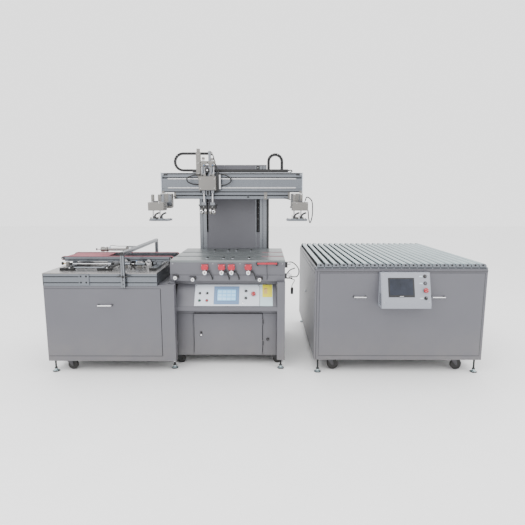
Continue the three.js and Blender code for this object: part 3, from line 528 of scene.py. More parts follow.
def mushroom_stop(name, node, body, at, x, z):
    piece = Piece(name, body, at, BLACK)
    piece.turned(Y, [(0, 3), (11.2, 3), (11.2, -10), (0, -10)], (x, z), 32)
    piece.use(RED_PLASTIC).turned(
        Y, [(0, -9), (13, -9), (15, -12), (19.2, -14), (20, -16), (20, -20), (18.5, -23.5), (13, -25.6), (0, -26)],
        (x, z), 44)
    piece.use(WHITE)
    for turn in range(3):
        angle = turn * 2 * math.pi / 3
        spot_x, spot_z = x + 12 * math.cos(angle), z + 12 * math.sin(angle)
        piece.turned(Y, [(0, -25.1), (2.2, -25.1), (1.8, -25.9), (0, -25.9)], (spot_x, spot_z), 12)
    piece.done(node)


# ---------------------------------------------------------------- camera, light and floor
def stage():
    camera = bpy.data.objects.new("camera", bpy.data.cameras.new("camera"))
    camera.location = (0.010, -4.300, 1.530)
    camera.rotation_euler = (math.radians(81.23), 0, math.radians(0.33))
    camera.data.sensor_width = 36
    camera.data.lens = 29.35
    bpy.context.scene.collection.objects.link(camera)
    bpy.context.scene.camera = camera

    world = bpy.data.worlds.new("studio")
    world.use_nodes = True
    world.node_tree.nodes["Background"].inputs["Color"].default_value = (1, 1, 1, 1)
    world.node_tree.nodes["Background"].inputs["Strength"].default_value = 2.1
    bpy.context.scene.world = world
    for name, place, aim, size, power in (
            ("key", (-2.6, -4.2, 4.2), (0, 0, 0.8), 3.2, 150),
            ("fill", (3.6, -3.2, 2.8), (0.4, 0, 0.8), 3.0, 60),
            ("top", (0.3, 1.4, 4.6), (0, 0.2, 0.8), 4.0, 90)):
        lamp = bpy.data.objects.new(name, bpy.data.lights.new(name, "AREA"))
        lamp.data.size = size
        lamp.data.energy = power
        lamp.location = place
        lamp.rotation_euler = (Vector(aim) - Vector(place)).to_track_quat("-Z", "Y").to_euler()
        bpy.context.scene.collection.objects.link(lamp)

    floor_shape = bmesh.new()
    bmesh.ops.create_grid(floor_shape, x_segments=2, y_segments=2, size=18)
    floor_mesh = bpy.data.meshes.new("floor")
    floor_shape.to_mesh(floor_mesh)
    floor_shape.free()
    floor_mesh.materials.append(surface("studio_floor", (0.93, 0.93, 0.93), 0.7, 0.0, 0.01, 60, 0.02, 0.2))
    floor = bpy.data.objects.new("floor", floor_mesh)
    bpy.context.scene.collection.objects.link(floor)


stage()


# ---------------------------------------------------------------- infeed module
INFEED_WIDTH, INFEED_DEPTH, INFEED_BOTTOM, INFEED_TOP = 1046, 1180, 108, 774
BELT_LINES = (400, 690)
PASS_HEIGHT = 978


def infeed_cabinet():
    piece = Piece("infeed_shell", "line", INFEED, PAINT)
    cabinet(piece, INFEED_WIDTH, INFEED_DEPTH, INFEED_BOTTOM, INFEED_TOP, ((26, 978), (177, 733)))
    piece.use(PAINT).boxes(
        1.6,
        ((1045, 1115), (0, 80), (INFEED_BOTTOM, 782)),
        ((976, INFEED_WIDTH), (2, 1178), (773, 782)),
    )
    piece.use(STEEL).bar(Z, 12, (94, 109), (1095, 30), 6)
    for y in (80, INFEED_DEPTH - 80):
        piece.use(PAINT_DARK_AND_SHADE).box((10, 223), sorted((y - 68, y + 45)), (108, 116), 1)
        castor_fork(piece, 178, y, 45, 108, PAINT_DARK_AND_SHADE)
    for y in (40, INFEED_DEPTH - 40):
        foot(piece, 40, y, 112)
    castor_wheel(piece, 178, INFEED_DEPTH - 80, 45)
    piece.done("infeed_cabinet")

    wheel = Piece("infeed_castor", "infeed_wheel", INFEED, RUBBER)
    castor_wheel(wheel, 178, 80, 45)
    wheel.done("infeed_wheel_left")

    panel = Piece("infeed_panel_sheet", "infeed_panel", INFEED, PAINT)
    front_panel(panel, (6, 998), (157, 753))
    pull_handle(panel, 464, 589, 613)
    panel.done("infeed_front_panel")


def infeed_top():
    rim = softened("infeed_extrusions", "infeed_top_frame", "line", ALUMINIUM, 0.9)
    rim.at = INFEED
    for z in (807, 860):
        for x in (328, 373):
            rim.bolt(Y, -1.8, (x, z), 7.5, -3.5, SHADOW)
    rim.use(SHADOW)
    for z in (801, 853):
        rim.box((-0.4, 972.4), (7, 13.4), (z, z + 6.5), 0)
        rim.box((1, 7.4), (8, 1172), (z, z + 6.5), 0)
    rim.use(BLACK).boxes(1.2, ((-1.6, 3), (3, 44), (776, 879)), ((-1.6, 3), (1136, 1177), (776, 879)))
    rim.done("infeed_top_frame")

    plate = softened("infeed_deck", "infeed_top_plate", "line", PLATE, 0.8)
    plate.at = INFEED
    for x in (60, 230, 540, 760, 930):
        for y in (24, 1156):
            plate.bolt(Z, 887.5, (x, y), 5, 2.2)
    for y in (300, 540, 860):
        plate.bolt(Z, 887.5, (946, y), 5, 2.2)
    plate.done("infeed_top_plate")


def conveyor_belt(index, name, y):
    """A thin belt round its two end pulleys."""
    radius, thick = 17, 2.5
    ends = (7, 1013)
    centre = PASS_HEIGHT - radius
    outer, inner = [], []
    for end, start in ((ends[1], -90), (ends[0], 90)):
        for k in range(13):
            turn = math.radians(start + 15 * k)
            for ring, reach in ((outer, radius), (inner, radius - thick)):
                ring.append((end + reach * math.cos(turn), centre + reach * math.sin(turn)))
    shape = bmesh.new()
    across = (y - 19, y + 19)
    loops = [[shape.verts.new((x, side, z)) for x, z in ring] for side in across for ring in (outer, inner)]
    count = len(outer)
    for i in range(count):
        j = (i + 1) % count
        for first, second in ((0, 2), (1, 3), (0, 1), (2, 3)):
            shape.faces.new([loops[first][i], loops[first][j], loops[second][j], loops[second][i]])
    bmesh.ops.recalc_face_normals(shape, faces=shape.faces)
    piece = Piece(f"belt_loop_{index}", "line", INFEED, BELT)
    piece.add(shape)
    for side in across:
        piece.use(BELT_EDGE).box((ends[0], ends[1]), sorted((side - 0.4, side + 0.4)), (975.6, 977.7), 0)
    piece.done(name)


def conveyor():
    piece = Piece("conveyor_beds", "line", INFEED, ALUMINIUM)
    for y in BELT_LINES:
        piece.use(ALUMINIUM).boxes(
            1.0,
            ((10, 1010), (y - 17.5, y + 17.5), (966, 974.8)),
            ((22, 998), (y - 20, y - 17), (933, 973)),
            ((22, 998), (y + 17, y + 20), (933, 973)),
            ((24, 996), (y - 17.5, y + 17.5), (931, 934.5)),
        )
        piece.use(SHADOW).box((26, 994), (y - 20.6, y - 19.5), (948, 953), 0)
        for x in (7, 1013):
            piece.use(BLACK).bar(Y, 13.6, (y - 18, y + 18), (x, 961), 28)
            piece.use(STEEL).bar(Y, 4.5, (y - 26, y + 26), (x, 961), 16)
            piece.use(BLACK).box((x - 15, x + 15), (y - 24, y - 20.4), (952, 970), 3, 3)
            piece.bolt(Y, y - 24, (x, 961), 5, -3)
        for x in (60, 150, 240, 330, 480, 570, 760, 870, 960):
            piece.bolt(Y, y - 20, (x, 942), 3.6, -2.4, BLACK)
        piece.use(ALUMINIUM_Y).boxes(
            1.0,
            ((88, 132), (y - 6, y + 6), (898, 934)), ((418, 462), (y - 6, y + 6), (898, 934)),
            ((878, 922), (y - 6, y + 6), (898, 934)), ((60, 470), (y - 15, y + 15), (903, 915)),
        )
        piece.use(STEEL).bar(X, 6, (64, 478), (y - 24, 909), 18)
        stop = ((y - 32, y - 14), (900, 919))
        piece.use(BLACK).boxes(1.5, ((70, 96), *stop), ((456, 482), *stop))
    for x in (110, 440):
        piece.use(BLACK).box((x + 26, x + 100), (150, 176), (888.4, 910), 4, 3)
        piece.box((x + 40, x + 76), (152, 186), (904, 922), 5, 3)
        piece.use(CHROME).bar(Y, 6, (147, 160), (x + 58, 908), 20)
    piece.use(ALUMINIUM).bar(X, 7, (205, 470), (164, 908), 20)
    for x in (110, 440, 900):
        piece.use(ALUMINIUM_Y).box((x - 26, x + 26), (150, 750), (888.3, 904), 1.2)
        for y in (175, 320, 620, 728):
            piece.bolt(Z, 904, (x, y), 6, 5, BLACK)
        for y in (150, 740):
            piece.use(BLACK).box((x - 30, x + 30), (y - 4, y + 14), (888.4, 908), 2, 3)
    # A wide belt spans the two beds over the module's left end.
    piece.use(BELT).box((20, 400), (419, 671), (968, 973.9), 1.5, 3)
    piece.use(BELT_EDGE).box((20.5, 399.5), (420.5, 669.5), (966, 968.2), 0)
    # The black side lever, its knob and the drive's pulleys and cylinders.
    piece.use(BLACK).tube([(470, 208, 898), (520, 214, 908), (570, 222, 926), (612, 232, 946)], 7)
    piece.turned(X, [(0, 30), (11, 30), (15, 34), (15, 42), (11, 48), (4, 51), (0, 51)], (300, 925), 28)
    piece.use(BRASS).bar(X, 5, (48, 100), (300, 925), 16)
    piece.use(CAST).box((74, 100), (286, 314), (900, 940), 2)
    for i, x in enumerate((520, 600, 745, 812, 950)):
        y = 372 if i % 2 else 432
        piece.use(BLACK).bar(Y, 16, (y - 9, y + 9), (x, 934), 24)
        piece.use(STEEL).bar(Y, 18, (y - 11, y - 8.5), (x, 934), 24)
        piece.bar(Y, 18, (y + 8.5, y + 11), (x, 934), 24)
        piece.use(CAST).box((x - 9, x + 9), (y + 11, y + 24), (902, 962), 2)
        piece.use(STEEL).bar(Y, 5, (y - 16, y + 24), (x, 934), 12)
    for x, y in ((560, 330), (700, 318), (790, 560)):
        piece.use(ALUMINIUM).bar(X, 13, (x, x + 92), (y, 916), 24)
        piece.use(BLACK).bar(X, 14.5, (x - 8, x + 4), (y, 916), 24)
        piece.bar(X, 14.5, (x + 88, x + 100), (y, 916), 24)
        piece.use(STEEL).bar(X, 4, (x + 98, x + 138), (y, 916), 14)
        piece.use(WHITE).bar(Z, 5, (926, 944), (x + 12, y), 14)
        piece.use(BLUE).bar(Z, 5.6, (942, 950), (x + 12, y), 14)
        piece.use(CABLE).tube([(x + 12, y, 948), (x + 20, y + 8, 958), (x + 60, y + 30, 952),
                               (x + 80, y + 52, 916), (x + 84, y + 70, 894)], 3)
        piece.use(CAST).box((x + 20, x + 60), (y - 11, y + 11), (888.5, 904), 1.5)
    for x, y in ((640, 470), (835, 466), (985, 520)):
        piece.use(BLACK).box((x - 22, x + 22), (y - 20, y + 20), (888.5, 928), 3, 3)
        piece.use(STEEL).bar(Z, 9, (927, 946), (x, y), 20)
        piece.use(WHITE).box((x + 21, x + 34), (y - 10, y + 10), (896, 916), 1.5)
        piece.bolt(Z, 928, (x - 15, y - 14), 3.5, 3)
        piece.bolt(Z, 928, (x + 15, y + 14), 3.5, 3)
    piece.use(ALUMINIUM_Y).box((612, 636), (372, 718), (905, 925), 1.5)
    piece.box((850, 872), (372, 718), (905, 925), 1.5)
    piece.use(CABLE).tube([(985, 540, 905), (1005, 600, 912), (1018, 640, 900), (1000, 700, 894)], 4)
    piece.done("infeed_conveyor")
    for index, (name, y) in enumerate(zip(("infeed_belt_front", "infeed_belt_rear"), BELT_LINES)):
        conveyor_belt(index, name, y)


def portal():
    x, front = 696, -34
    piece = Piece("bridge", "portal", INFEED, ALUMINIUM_Z)
    piece.slotted(Z, (x, front + 15), 30, (768, 1041))
    piece.slotted(Z, (x, 1125), 30, (889, 1041))
    piece.use(ALUMINIUM_Y).slotted(Y, (x, 1057), 30, (front + 1, 1139))
    piece.use(BLACK).boxes(
        1.0,
        ((x - 15, x + 15), (front, front + 2), (1042, 1072)), ((x - 15, x + 15), (1138, 1140), (1042, 1072)),
        ((x - 15, x + 15), (front, front + 30), (768, 770)),
    )
    piece.use(CAST).box((x - 13, x + 13), (front + 30, front + 34), (1012, 1041), 1.5)
    piece.prism(X, [(front + 30, 1040), (front + 58, 1040), (front + 30, 1012)], (x - 8, x + 8), 1)
    piece.use(BLACK).tube([(x - 54, front + 14, 862), (x - 30, front + 10, 863), (x, front + 6, 862),
                           (x + 30, front + 10, 863), (x + 54, front + 14, 862)], 6.2, 14)
    piece.turned(Y, [(0, front - 2), (11, front - 2), (14, front + 1), (14, front + 6), (0, front + 6)], (x, 862), 28)
    for z in (796, 830):
        piece.bolt(Y, front, (x, z), 5, -2, BLACK)
    # The pusher's cylinder, hung under the bridge on a thin arm.
    y, z, head, end = 540, 1026, 307, 575
    piece.use(PLATE).bar(X, 14, (head + 67, end), (y, z), 36)
    piece.use(CAST).turned(X, [(8, head), (20, head), (24, head + 6), (24, head + 28), (19, head + 38), (19, head + 50),
                               (24, head + 56), (24, head + 66), (14, head + 72), (8, head + 72), (8, head)], (y, z), 36)
    piece.use(BLACK).turned(X, [(13, end - 8), (14, end - 6), (14, end - 2), (10, end), (0, end)], (y, z), 30)
    piece.use(CAST).box((end - 24, end - 4), (y - 16, y + 16), (z - 16, z + 26), 2)
    piece.use(ALUMINIUM).box((end - 24, x - 4), (y - 12, y + 12), (z + 18, z + 26), 1.2)
    piece.bolt(Y, y - 16, (end - 14, z), 4, -3, BLACK)
    piece.use(BLUE).bar(Z, 4.5, (z + 12, z + 24), (head + 86, y), 14)
    piece.use(CABLE).tube([(head + 86, y, z + 22), (head + 100, y, z + 36), (head + 168, y, z + 30),
                           (end - 40, y, z + 30), (x - 20, y + 4, z + 30)], 2.6)
    piece.done("infeed_portal")

    tip, rod_end = 259, 475
    rod = Piece("pusher_plunger", "pusher_rod", INFEED, STEEL)
    rod.bar(X, 6.6, (tip + 12, rod_end - 2), (y, z), 28)
    rod.use(BLACK).turned(X, [(0, tip), (8, tip), (11, tip + 3), (11, tip + 8), (7, tip + 12), (0, tip + 12)],
                          (y, z), 30)
    rod.done("infeed_pusher_rod")


infeed_cabinet()
infeed_top()
conveyor()
portal()


# ---------------------------------------------------------------- printer module
HALF = 505
LEGS = {-1: (-505, -465), 1: (435, 505)}
ADJUSTERS = (-198, -51, 35, 182)
STOP_AT = (226, 116)
BUTTONS = {"start": (-251, 124, GLOSS), "stop": (-186, 124, GLOSS), "vacuum": (-251, 56, GREEN),
           "reset": (-186, 56, RED_PLASTIC)}
SELECTORS = {"mode": (159, 146), "light": (159, 80)}


def printer_base():
    piece = Piece("printer_cabinet", "line", PRINTER, PAINT)
    for side in (-1, 1):
        xs = LEGS[side]
        piece.use(PAINT).boxes(
            3.0,
            (xs, (0, 55), (85, 793.6)), (xs, (1095, 1150), (85, 639.6)),
            ((xs[0] + 2, xs[1] - 2), (54, 101), (200, 240)), ((xs[0] + 2, xs[1] - 2), (1092, 1099), (200, 240)),
        )
        outer = sorted((side * HALF, side * (HALF - 12)))
        piece.box(outer, (56, 929), (639, 793.6), 1.2)
        sheet_face(piece, ("x", side), side * HALF, ((101, 1094), (93, 639.5)))
        for y in (27.5, 1122.5):
            foot(piece, sum(xs) / 2, y, 89)
        for y in (150, 1050):
            castor_fork(piece, side * 443, y, 37, 93, BLACK)
            piece.use(PAINT_DARK_AND_SHADE).box(sorted((side * 493, side * 343)), (y - 45, y + 45), (93, 101), 1)
        castor_wheel(piece, side * 443, 1050, 37)
        for z in (300, 560, 720):
            piece.bolt(X, side * HALF, (27, z), 5, side * -0.8, BLACK)
    sheet_face(piece, ("y", 1), 1100, ((1 - HALF, HALF - 1), (93, 639.5)))
    piece.use(PAINT).boxes(
        1.2,
        ((0.6 - HALF, -317), (100, 112), (93, 639)), ((307, HALF - 0.6), (100, 112), (93, 639)),
        ((-317, 307), (100.4, 112), (93, 120)), ((-317, 307), (100.4, 112), (492, 639)),
        ((-493, 493), (110, 1088), (628, 640)), ((-466, 436), (940, 1149), (626, 639.2)),
        ((-493, 493), (128, 136), (753, 793.4)),
    )
    recess = ((101, 112.5), (119, 493))
    piece.use(SHADOW).boxes(0, ((-318, -297), *recess), ((290, 308), *recess))
    piece.use(PAINT).prism(X, [(0.8, 536), (30, 536), (30, 557.4), (8, 572), (0.8, 572)], (-466, 436), 1.4)
    # Painted shade: a dark strip closes the gap behind the ledge and stands in for its shadow.
    piece.use(PAINT_DARK_AND_SHADE).box((-464, 434), (29, 101), (537, 541), 0.5)
    # The blanking strip beside the door, with its black knob.
    piece.use(PAINT).box((311, 434), (93, 101), (106, 487), 1.4)
    piece.use(GLOSS).turned(Y, [(0, 94), (12, 94), (14, 90), (14, 84), (11, 80), (0, 79)], (354, 248), 32)
    piece.use(PAINT).box((-464, -325), (96, 101), (106, 487), 1)
    piece.done("printer_base")
    for side, name in ((-1, "left"), (1, "right")):
        wheel = Piece(f"printer_castor_{name}", f"printer_wheel_{name}", PRINTER, RUBBER)
        castor_wheel(wheel, side * 443, 150, 37)
        wheel.done(f"printer_wheel_{name}")


def printer_door():
    piece = Piece("door_leaf", "door", PRINTER, PAINT)
    back, front = 99.7, 81.7
    piece.box((-311, 304), (front, back), (105, 488), 2.2, 3)
    oval = [(-248 + 13 * math.cos(t), 300 + (14 if math.sin(t) > 0 else -14) + 13 * math.sin(t))
            for t in (2 * math.pi * (k + 0.5) / 24 for k in range(24))]
    piece.use(PAINT_DARK_AND_SHADE).prism(Y, oval, (front - 3, front + 0.5), 1)
    piece.use(CHROME).turned(Y, [(0, front - 2.5), (8, front - 2.5), (7.4, front - 4.8), (0, front - 5)], (-248, 290), 24)
    piece.use(SHADOW).box((-249, -247), (front - 5.4, front - 4), (285, 295), 0)
    piece.box((-254, -242), (front - 3.6, front - 2), (304, 322), 2)
    for z in (214, 414):
        piece.use(PAINT_DARK_AND_SHADE).bar(Z, 6.9, (z - 22, z + 22), (310, 87.7), 20, 1)
        piece.use(STEEL).bar(Z, 3.4, (z - 25, z + 25), (310, 87.7), 14, 1)
        piece.use(BLACK).boxes(0, ((302, 317.4), (80.4, 94.8), (z - 8, z - 6.6)),
                               ((302, 317.4), (80.4, 94.8), (z + 6.6, z + 8)))
    piece.use(PAINT_DARK_AND_SHADE).box((-290, 284), (back - 0.2, back + 0.1), (125, 468), 0)
    piece.done("printer_door")


def control_panel():
    piece = Piece("control_slope", "line", CONTROL, PAINT)
    piece.box((-460, 432), (0, 15), (0, 216), 1.2)
    piece.use(WHITE).box((-295, 280), (-3, 1), (6, 208), 1.2)
    piece.use(SCREEN_BEZEL).box((-125, 100), (-6, 0), (20, 190), 3, 3)
    piece.use(SHADOW).box((-97, 75), (-6.2, -5), (52, 162), 0)
    piece.use(SCREEN_LIT).box((-95, 73), (-6.5, -5.2), (54, 160), 0.4)
    piece.use(SCREEN_TILE)
    for column in range(4):
        for row in range(3):
            x, z = -88 + column * 40, 60 + row * 33
            piece.box((x, x + 33), (-6.8, -6), (z, z + 24), 0.2)
    for x in (-284, 269):
        for z in (17, 197):
            piece.bolt(Y, -3, (x, z), 4, -1.6)
    for x, z, _ in BUTTONS.values():
        bezel(piece, x, z, None)
        piece.use(POCKET).box((x - 13, x + 13), (-3.5, -2.6), (z + 18, z + 26), 0.2)
    for x, z in SELECTORS.values():
        bezel(piece, x, z, None)
        piece.use(POCKET).box((x - 16, x + 16), (-3.5, -2.6), (z + 18, z + 26), 0.2)
    bezel(piece, *STOP_AT, None, 18)
    piece.use(CHROME).turned(Y, [(0, -2), (10, -2), (10, -6), (8, -7.5), (0, -7.5)], (138, 34), 28)
    piece.use(WHITE).turned(Y, [(0, -7), (7, -7), (6.4, -10.6), (4, -12), (0, -12)], (138, 34), 28)
    piece.use(PAINT).box((-118, 103), (-1, 4), (208.5, 214), 1)
    piece.use(BLACK)
    for x in (-12, 0):
        piece.bar(Y, 3, (-4, 1), (x, 211 if x else 3), 14)
    # The clear document pocket with a plain yellow card.
    piece.use(POCKET).box((284, 397), (-2.2, 1), (6, 208), 0.8)
    piece.use(YELLOW).box((306, 393), (-3, -1.5), (89, 206), 0.3)
    piece.use(BRASS).box((318, 350), (-3.4, -2.6), (120, 176), 0.2)
    piece.done("control_face")
    for key, (x, z, colour) in BUTTONS.items():
        push_button(f"cap_{key}", f"button_{key}", CONTROL, x, z, colour)
    for key, (x, z) in SELECTORS.items():
        turn_switch(f"switch_{key}", f"selector_{key}", CONTROL, x, z)
    mushroom_stop("stop_mushroom", "emergency_stop", "emergency_stop", CONTROL, *STOP_AT)


def table():
    top = softened("print_table", "table_top", "line", TABLE, 1.2)
    top.at = PRINTER
    for x in ADJUSTERS:
        for y, radius, material in ((176, 11, WHITE), (214, 10, SHADOW), (256, 12, SHADOW),
                                    (722, 10, WHITE), (770, 12, SHADOW), (824, 13, SHADOW)):
            top.use(material).bar(Z, radius, (961, 977.9), (x, y), 24)
            top.use(STEEL).bar(Z, 3, (970, 978), (x, y), 14)
        for y in (150, 690):
            slot_end = y + (129.6 if y == 150 else 159.6)
            top.use(SHADOW).box((x - 11.8, x + 11.8), (y + 0.4, slot_end), (960.4, 975), 0)
    top.use(BELT)
    for y in (310, 600):
        top.box((300, HALF), (y - 18, y + 18), (970.4, 976), 0.6)
    top.use(PAINT_DARK_AND_SHADE)
    for x in (-470, -100, 110, 470):
        for y in (75, 905):
            top.bolt(Z, 977.2, (x, y), 5, 0.7)
    top.done("table_top")

    piece = Piece("table_skirt", "line", PRINTER, PAINT)
    piece.boxes(
        1.6,
        ((-HALF, HALF), (50, 64), (794, 959.6)), ((-HALF, HALF), (916, 930), (794, 959.6)),
        ((-HALF, -491), (63, 917), (794, 959.6)), ((491, HALF), (63, 917), (794, 959.6)),
    )
    piece.use(PAINT).box((-503, 503), (46.5, 52), (794, 846), 1.2)
    # Painted shade: a thin dark line along the band's edge stands in for the shadow under the lip.
    piece.use(PAINT_DARK_AND_SHADE).box((-500, 500), (48.8, 51), (846, 850), 0)
    for x in (-480, -130, 110, 480):
        piece.bolt(Y, 50, (x, 948), 4, -2)
    for x in ADJUSTERS:
        piece.use(RED).box((x - 30, x + 30), (16, 51), (902, 944), 4, 3)
        piece.box((x - 23, x + 23), (13, 40), (897, 936), 3, 3)
        piece.use(SHADOW).box((x - 30.4, x + 30.4), (24, 27), (901.6, 944.4), 0)
        for side in (-1, 1):
            piece.bolt(Y, 16, (x + side * 25, 936), 3.2, -2)
        piece.use(STEEL).bar(Y, 5.8, (34, 51), (x, 872), 24)
        piece.use(CHROME).bar(Z, 7, (884, 900), (x, 34), 24)
    # The red light bar, its ends and lead.
    piece.use(RED).box((262, 434), (22.5, 50.5), (945.5, 959.4), 3, 3)
    piece.use(BLACK).boxes(2, ((251, 264), (23, 50.5), (945, 959.5)), ((432, 445), (23, 50.5), (945, 959.5)))
    piece.boxes(1.0, ((256, 272), (34, 50.5), (931, 946)), ((424, 440), (34, 50.5), (931, 946)))
    piece.use(CABLE).tube([(345, 36, 946), (345, 34, 900), (348, 33, 850), (347, 40, 806)], 2.2)
    # Chromed micrometer heads.
    for x, z in ((-304, 812), (281, 812), (-456, 826)):
        piece.use(CHROME).turned(Y, [(0, 10), (14, 10), (17, 13), (18, 17), (18, 30), (13, 34), (13, 51), (0, 51)],
                                 (x, z), 36)
        piece.use(GLOSS).turned(Y, [(0, 11), (6, 11), (6, 9.9), (0, 9.9)], (x, z), 24)
        piece.use(BLACK).box((x + 8, x + 28), (26, 46), (z - 4, z + 24), 4, 3)
        piece.tube([(x + 20, 34, z + 18), (x - 6, 30, z + 28), (x - 30, 34, z + 24)], 3)
    # The right side's cable loop, bracket and dangling probe.
    piece.use(CABLE).tube([
        (HALF - 6, 200, 930), (HALF + 70, 190, 940), (HALF + 128, 180, 880),
        (HALF + 118, 180, 815), (HALF + 60, 190, 810), (HALF - 6, 200, 840),
    ], 4.6, 16)
    piece.use(BLACK).boxes(
        2.0,
        ((HALF, HALF + 24), (96, 128), (905, 956)), ((HALF, HALF + 18), (96, 128), (806, 852)),
        ((HALF + 20, HALF + 46), (104, 124), (930, 950)),
    )
    piece.use(CHROME).bar(X, 11, (HALF + 20, HALF + 52), (112, 942), 28)
    piece.bar(X, 9, (HALF + 16, HALF + 62), (112, 838), 28)
    piece.bar(Z, 6, (822, 858), (HALF + 40, 112), 20)
    piece.use(CABLE).tube([(HALF + 20, 116, 850), (HALF + 50, 112, 884), (HALF + 90, 108, 900)], 5)
    piece.tube([(HALF + 30, 112, 832), (HALF + 60, 116, 802), (HALF + 88, 128, 786), (HALF + 67, 130, 740),
                (HALF + 67, 130, 722)], 3)
    piece.use(BLACK).box((HALF - 1, HALF + 70), (122, 138), (801, 811), 1.5)
    piece.turned(Z, [(0, 660), (10, 660), (12, 663), (12, 712), (8, 720), (4, 724), (0, 724)], (HALF + 67, 130), 28)
    piece.done("table_apron")

    for number, x in enumerate(ADJUSTERS, 1):
        knob = Piece(f"knurled_knob_{number}", f"adjuster_knob_{number}", PRINTER, CHROME)
        outline = [(0, 14), (16, 14), (18, 16), (20.4, 18), (21, 21), (21, 38), (19.5, 40), (19.5, 45), (7, 46),
                   (7, 33), (0, 33)]
        knob.turned(Y, outline, (x, 872), 36)
        for k in range(18):
            turn = 2 * math.pi * k / 18
            ridge = (x + 19.9 * math.cos(turn), 872 + 19.9 * math.sin(turn))
            knob.bar(Y, 1.1, (20, 38), ridge, 8, 0.4)
        knob.use(GLOSS).turned(Y, [(0, 14.4), (7, 14.4), (6, 13.6), (0, 13.6)], (x, 872), 24)
        knob.done(f"adjuster_knob_{number}")
        lever = Piece(f"black_lever_{number}", f"adjuster_lever_{number}", PRINTER, BLACK)
        lever.turned(Y, [(0, 22), (7, 22), (10, 25), (10, 34), (8, 38), (8, 49.5), (0, 49.5)], (x + 36, 880), 28)
        lever.tube([(x + 36, 28, 880), (x + 46, 25, 872), (x + 58, 24, 848), (x + 66, 24, 822), (x + 68, 24, 813)],
                   5.4, 14)
        lever.turned(Z, [(0, 810), (5, 810.5), (6.6, 814), (6.2, 826), (4.6, 834), (0, 834)], (x + 67.5, 24), 20)
        lever.done(f"adjuster_lever_{number}")


def column():
    front, back, low, top = 950, 1150, 640.3, 1858
    piece = Piece("tower", "line", PRINTER, PAINT)
    piece.boxes(
        1.4,
        ((-278, 236), (front, front + 16), (low, top - 12)),
        ((-371, -359), (front + 4, back), (low, top - 12)), ((333, 345), (front + 4, back), (low, top - 12)),
        ((-359, 333), (back - 12, back - 3), (low, top - 12)),
        ((-371, 345), (front, back), (top - 13, top)),
        ((-296, -278), (front, front + 16), (low, 1150)), ((236, 272), (front, front + 16), (low, 1150)),
        ((-296, -278), (front, front + 16), (1800, top - 12)), ((236, 272), (front, front + 16), (1800, top - 12)),
        ((-360, 336), (front + 15, back - 3), (low, low + 12)),
    )
    for z in (660, 1240):
        piece.box((-343, 317), (back - 4, back), (z, z + 560), 1.2)
        for x in (-325, -13, 299):
            for height in (z + 18, z + 542):
                piece.bolt(Y, back - 2, (x, height), 5, 1.8)
    piece.use(ALUMINIUM_Z).boxes(
        1.2,
        ((-371, -338), (front - 1.5, front + 16), (low, top - 13)),
        ((-334, -296), (front - 1.5, front + 16), (low, top - 13)),
        ((272, 303), (front - 1.5, front + 16), (low, top - 13)),
        ((307, 345), (front - 1.5, front + 16), (low, top - 13)),
        ((228, 236), (front - 2, front + 2), (low, top - 13)),
    )
    piece.use(SHADOW).boxes(0, ((-340, -332), (front + 2, front + 10), (low, top - 14)),
                            ((301, 309), (front + 2, front + 10), (low, top - 14)),
                            ((-345, 325), (front + 60, front + 64), (1140, 1810)))
    # Guide rails behind the two slots, with their screws.
    for x in (-287, 254):
        piece.use(PAINT_DARK_AND_SHADE).box((x - 6, x + 6), (front + 46, front + 60), (1140, 1810), 1)
        for k in range(11):
            piece.bolt(Y, front + 46, (x, 1170 + 60 * k), 2.6, -1.2)
    # The black duct on the right edge, and the bracket for the cable arch.
    piece.use(BLACK).box((344, 371), (955, 995), (low, 1786), 2, 3)
    for k in range(23):
        piece.box((345, 371.6), (953.8, 957), (670 + 48 * k, 676 + 48 * k), 0)
    piece.use(PAINT).box((350, 380), (812, 969), (1766, 1790), 1.5)
    piece.use(BLACK).box((238, 270), (front - 2.5, front + 1), (1810, 1846), 2)
    piece.bolt(Y, front - 2.5, (254, 1828), 5, -2)
    for x in (-320, -100, 120, 320):
        piece.bolt(Y, front, (x, 1852), 3.6, -1.6)
    piece.done("column")


def slat(piece, at, turn, half, thick, wide):
    """One link of a cable chain: two side plates and two crossbars, at a place and with a lean."""
    for lift in (-1, 1):
        for y in (-1, 1):
            piece.box((-half, half), sorted((y * wide, y * (wide - 3.4))), sorted((lift * thick, lift * 1.5)), 1.2, 1,
                      at @ turn)
        piece.box((-half * 0.45, half * 0.45), (-wide, wide), sorted((lift * thick, lift * (thick - 2.6))), 0.8, 1,
                  at @ turn)


def chain_links(piece, path, pitch, thick, wide):
    """Links at an even pitch along a path of (x, z) points, at the height of the middle of the chain."""
    total, points = 0.0, [Vector((p[0], 0, p[1])) for p in path]
    ahead = pitch / 2
    for first, second in zip(points, points[1:]):
        step = second - first
        while ahead <= total + step.length:
            place = first + step * ((ahead - total) / step.length)
            turn = Matrix.Rotation(-math.atan2(step.z, step.x), 4, "Y")
            slat(piece, PRINTER @ Matrix.Translation((place.x, path.depth, place.z)), turn, pitch * 0.52, thick, wide)
            ahead += pitch
        total += step.length


class Route(list):
    """A chain's path, with the depth at which it runs."""

    def __init__(self, points, depth):
        super().__init__(points)
        self.depth = depth


def arc(centre, radius, start, end, steps=14):
    turns = [math.radians(start + (end - start) * k / steps) for k in range(steps + 1)]
    return [(centre[0] + radius * math.cos(t), centre[1] + radius * math.sin(t)) for t in turns]


CHAIN_LOW, CHAIN_REACH, CHAIN_THICK = 1777, 82, 22


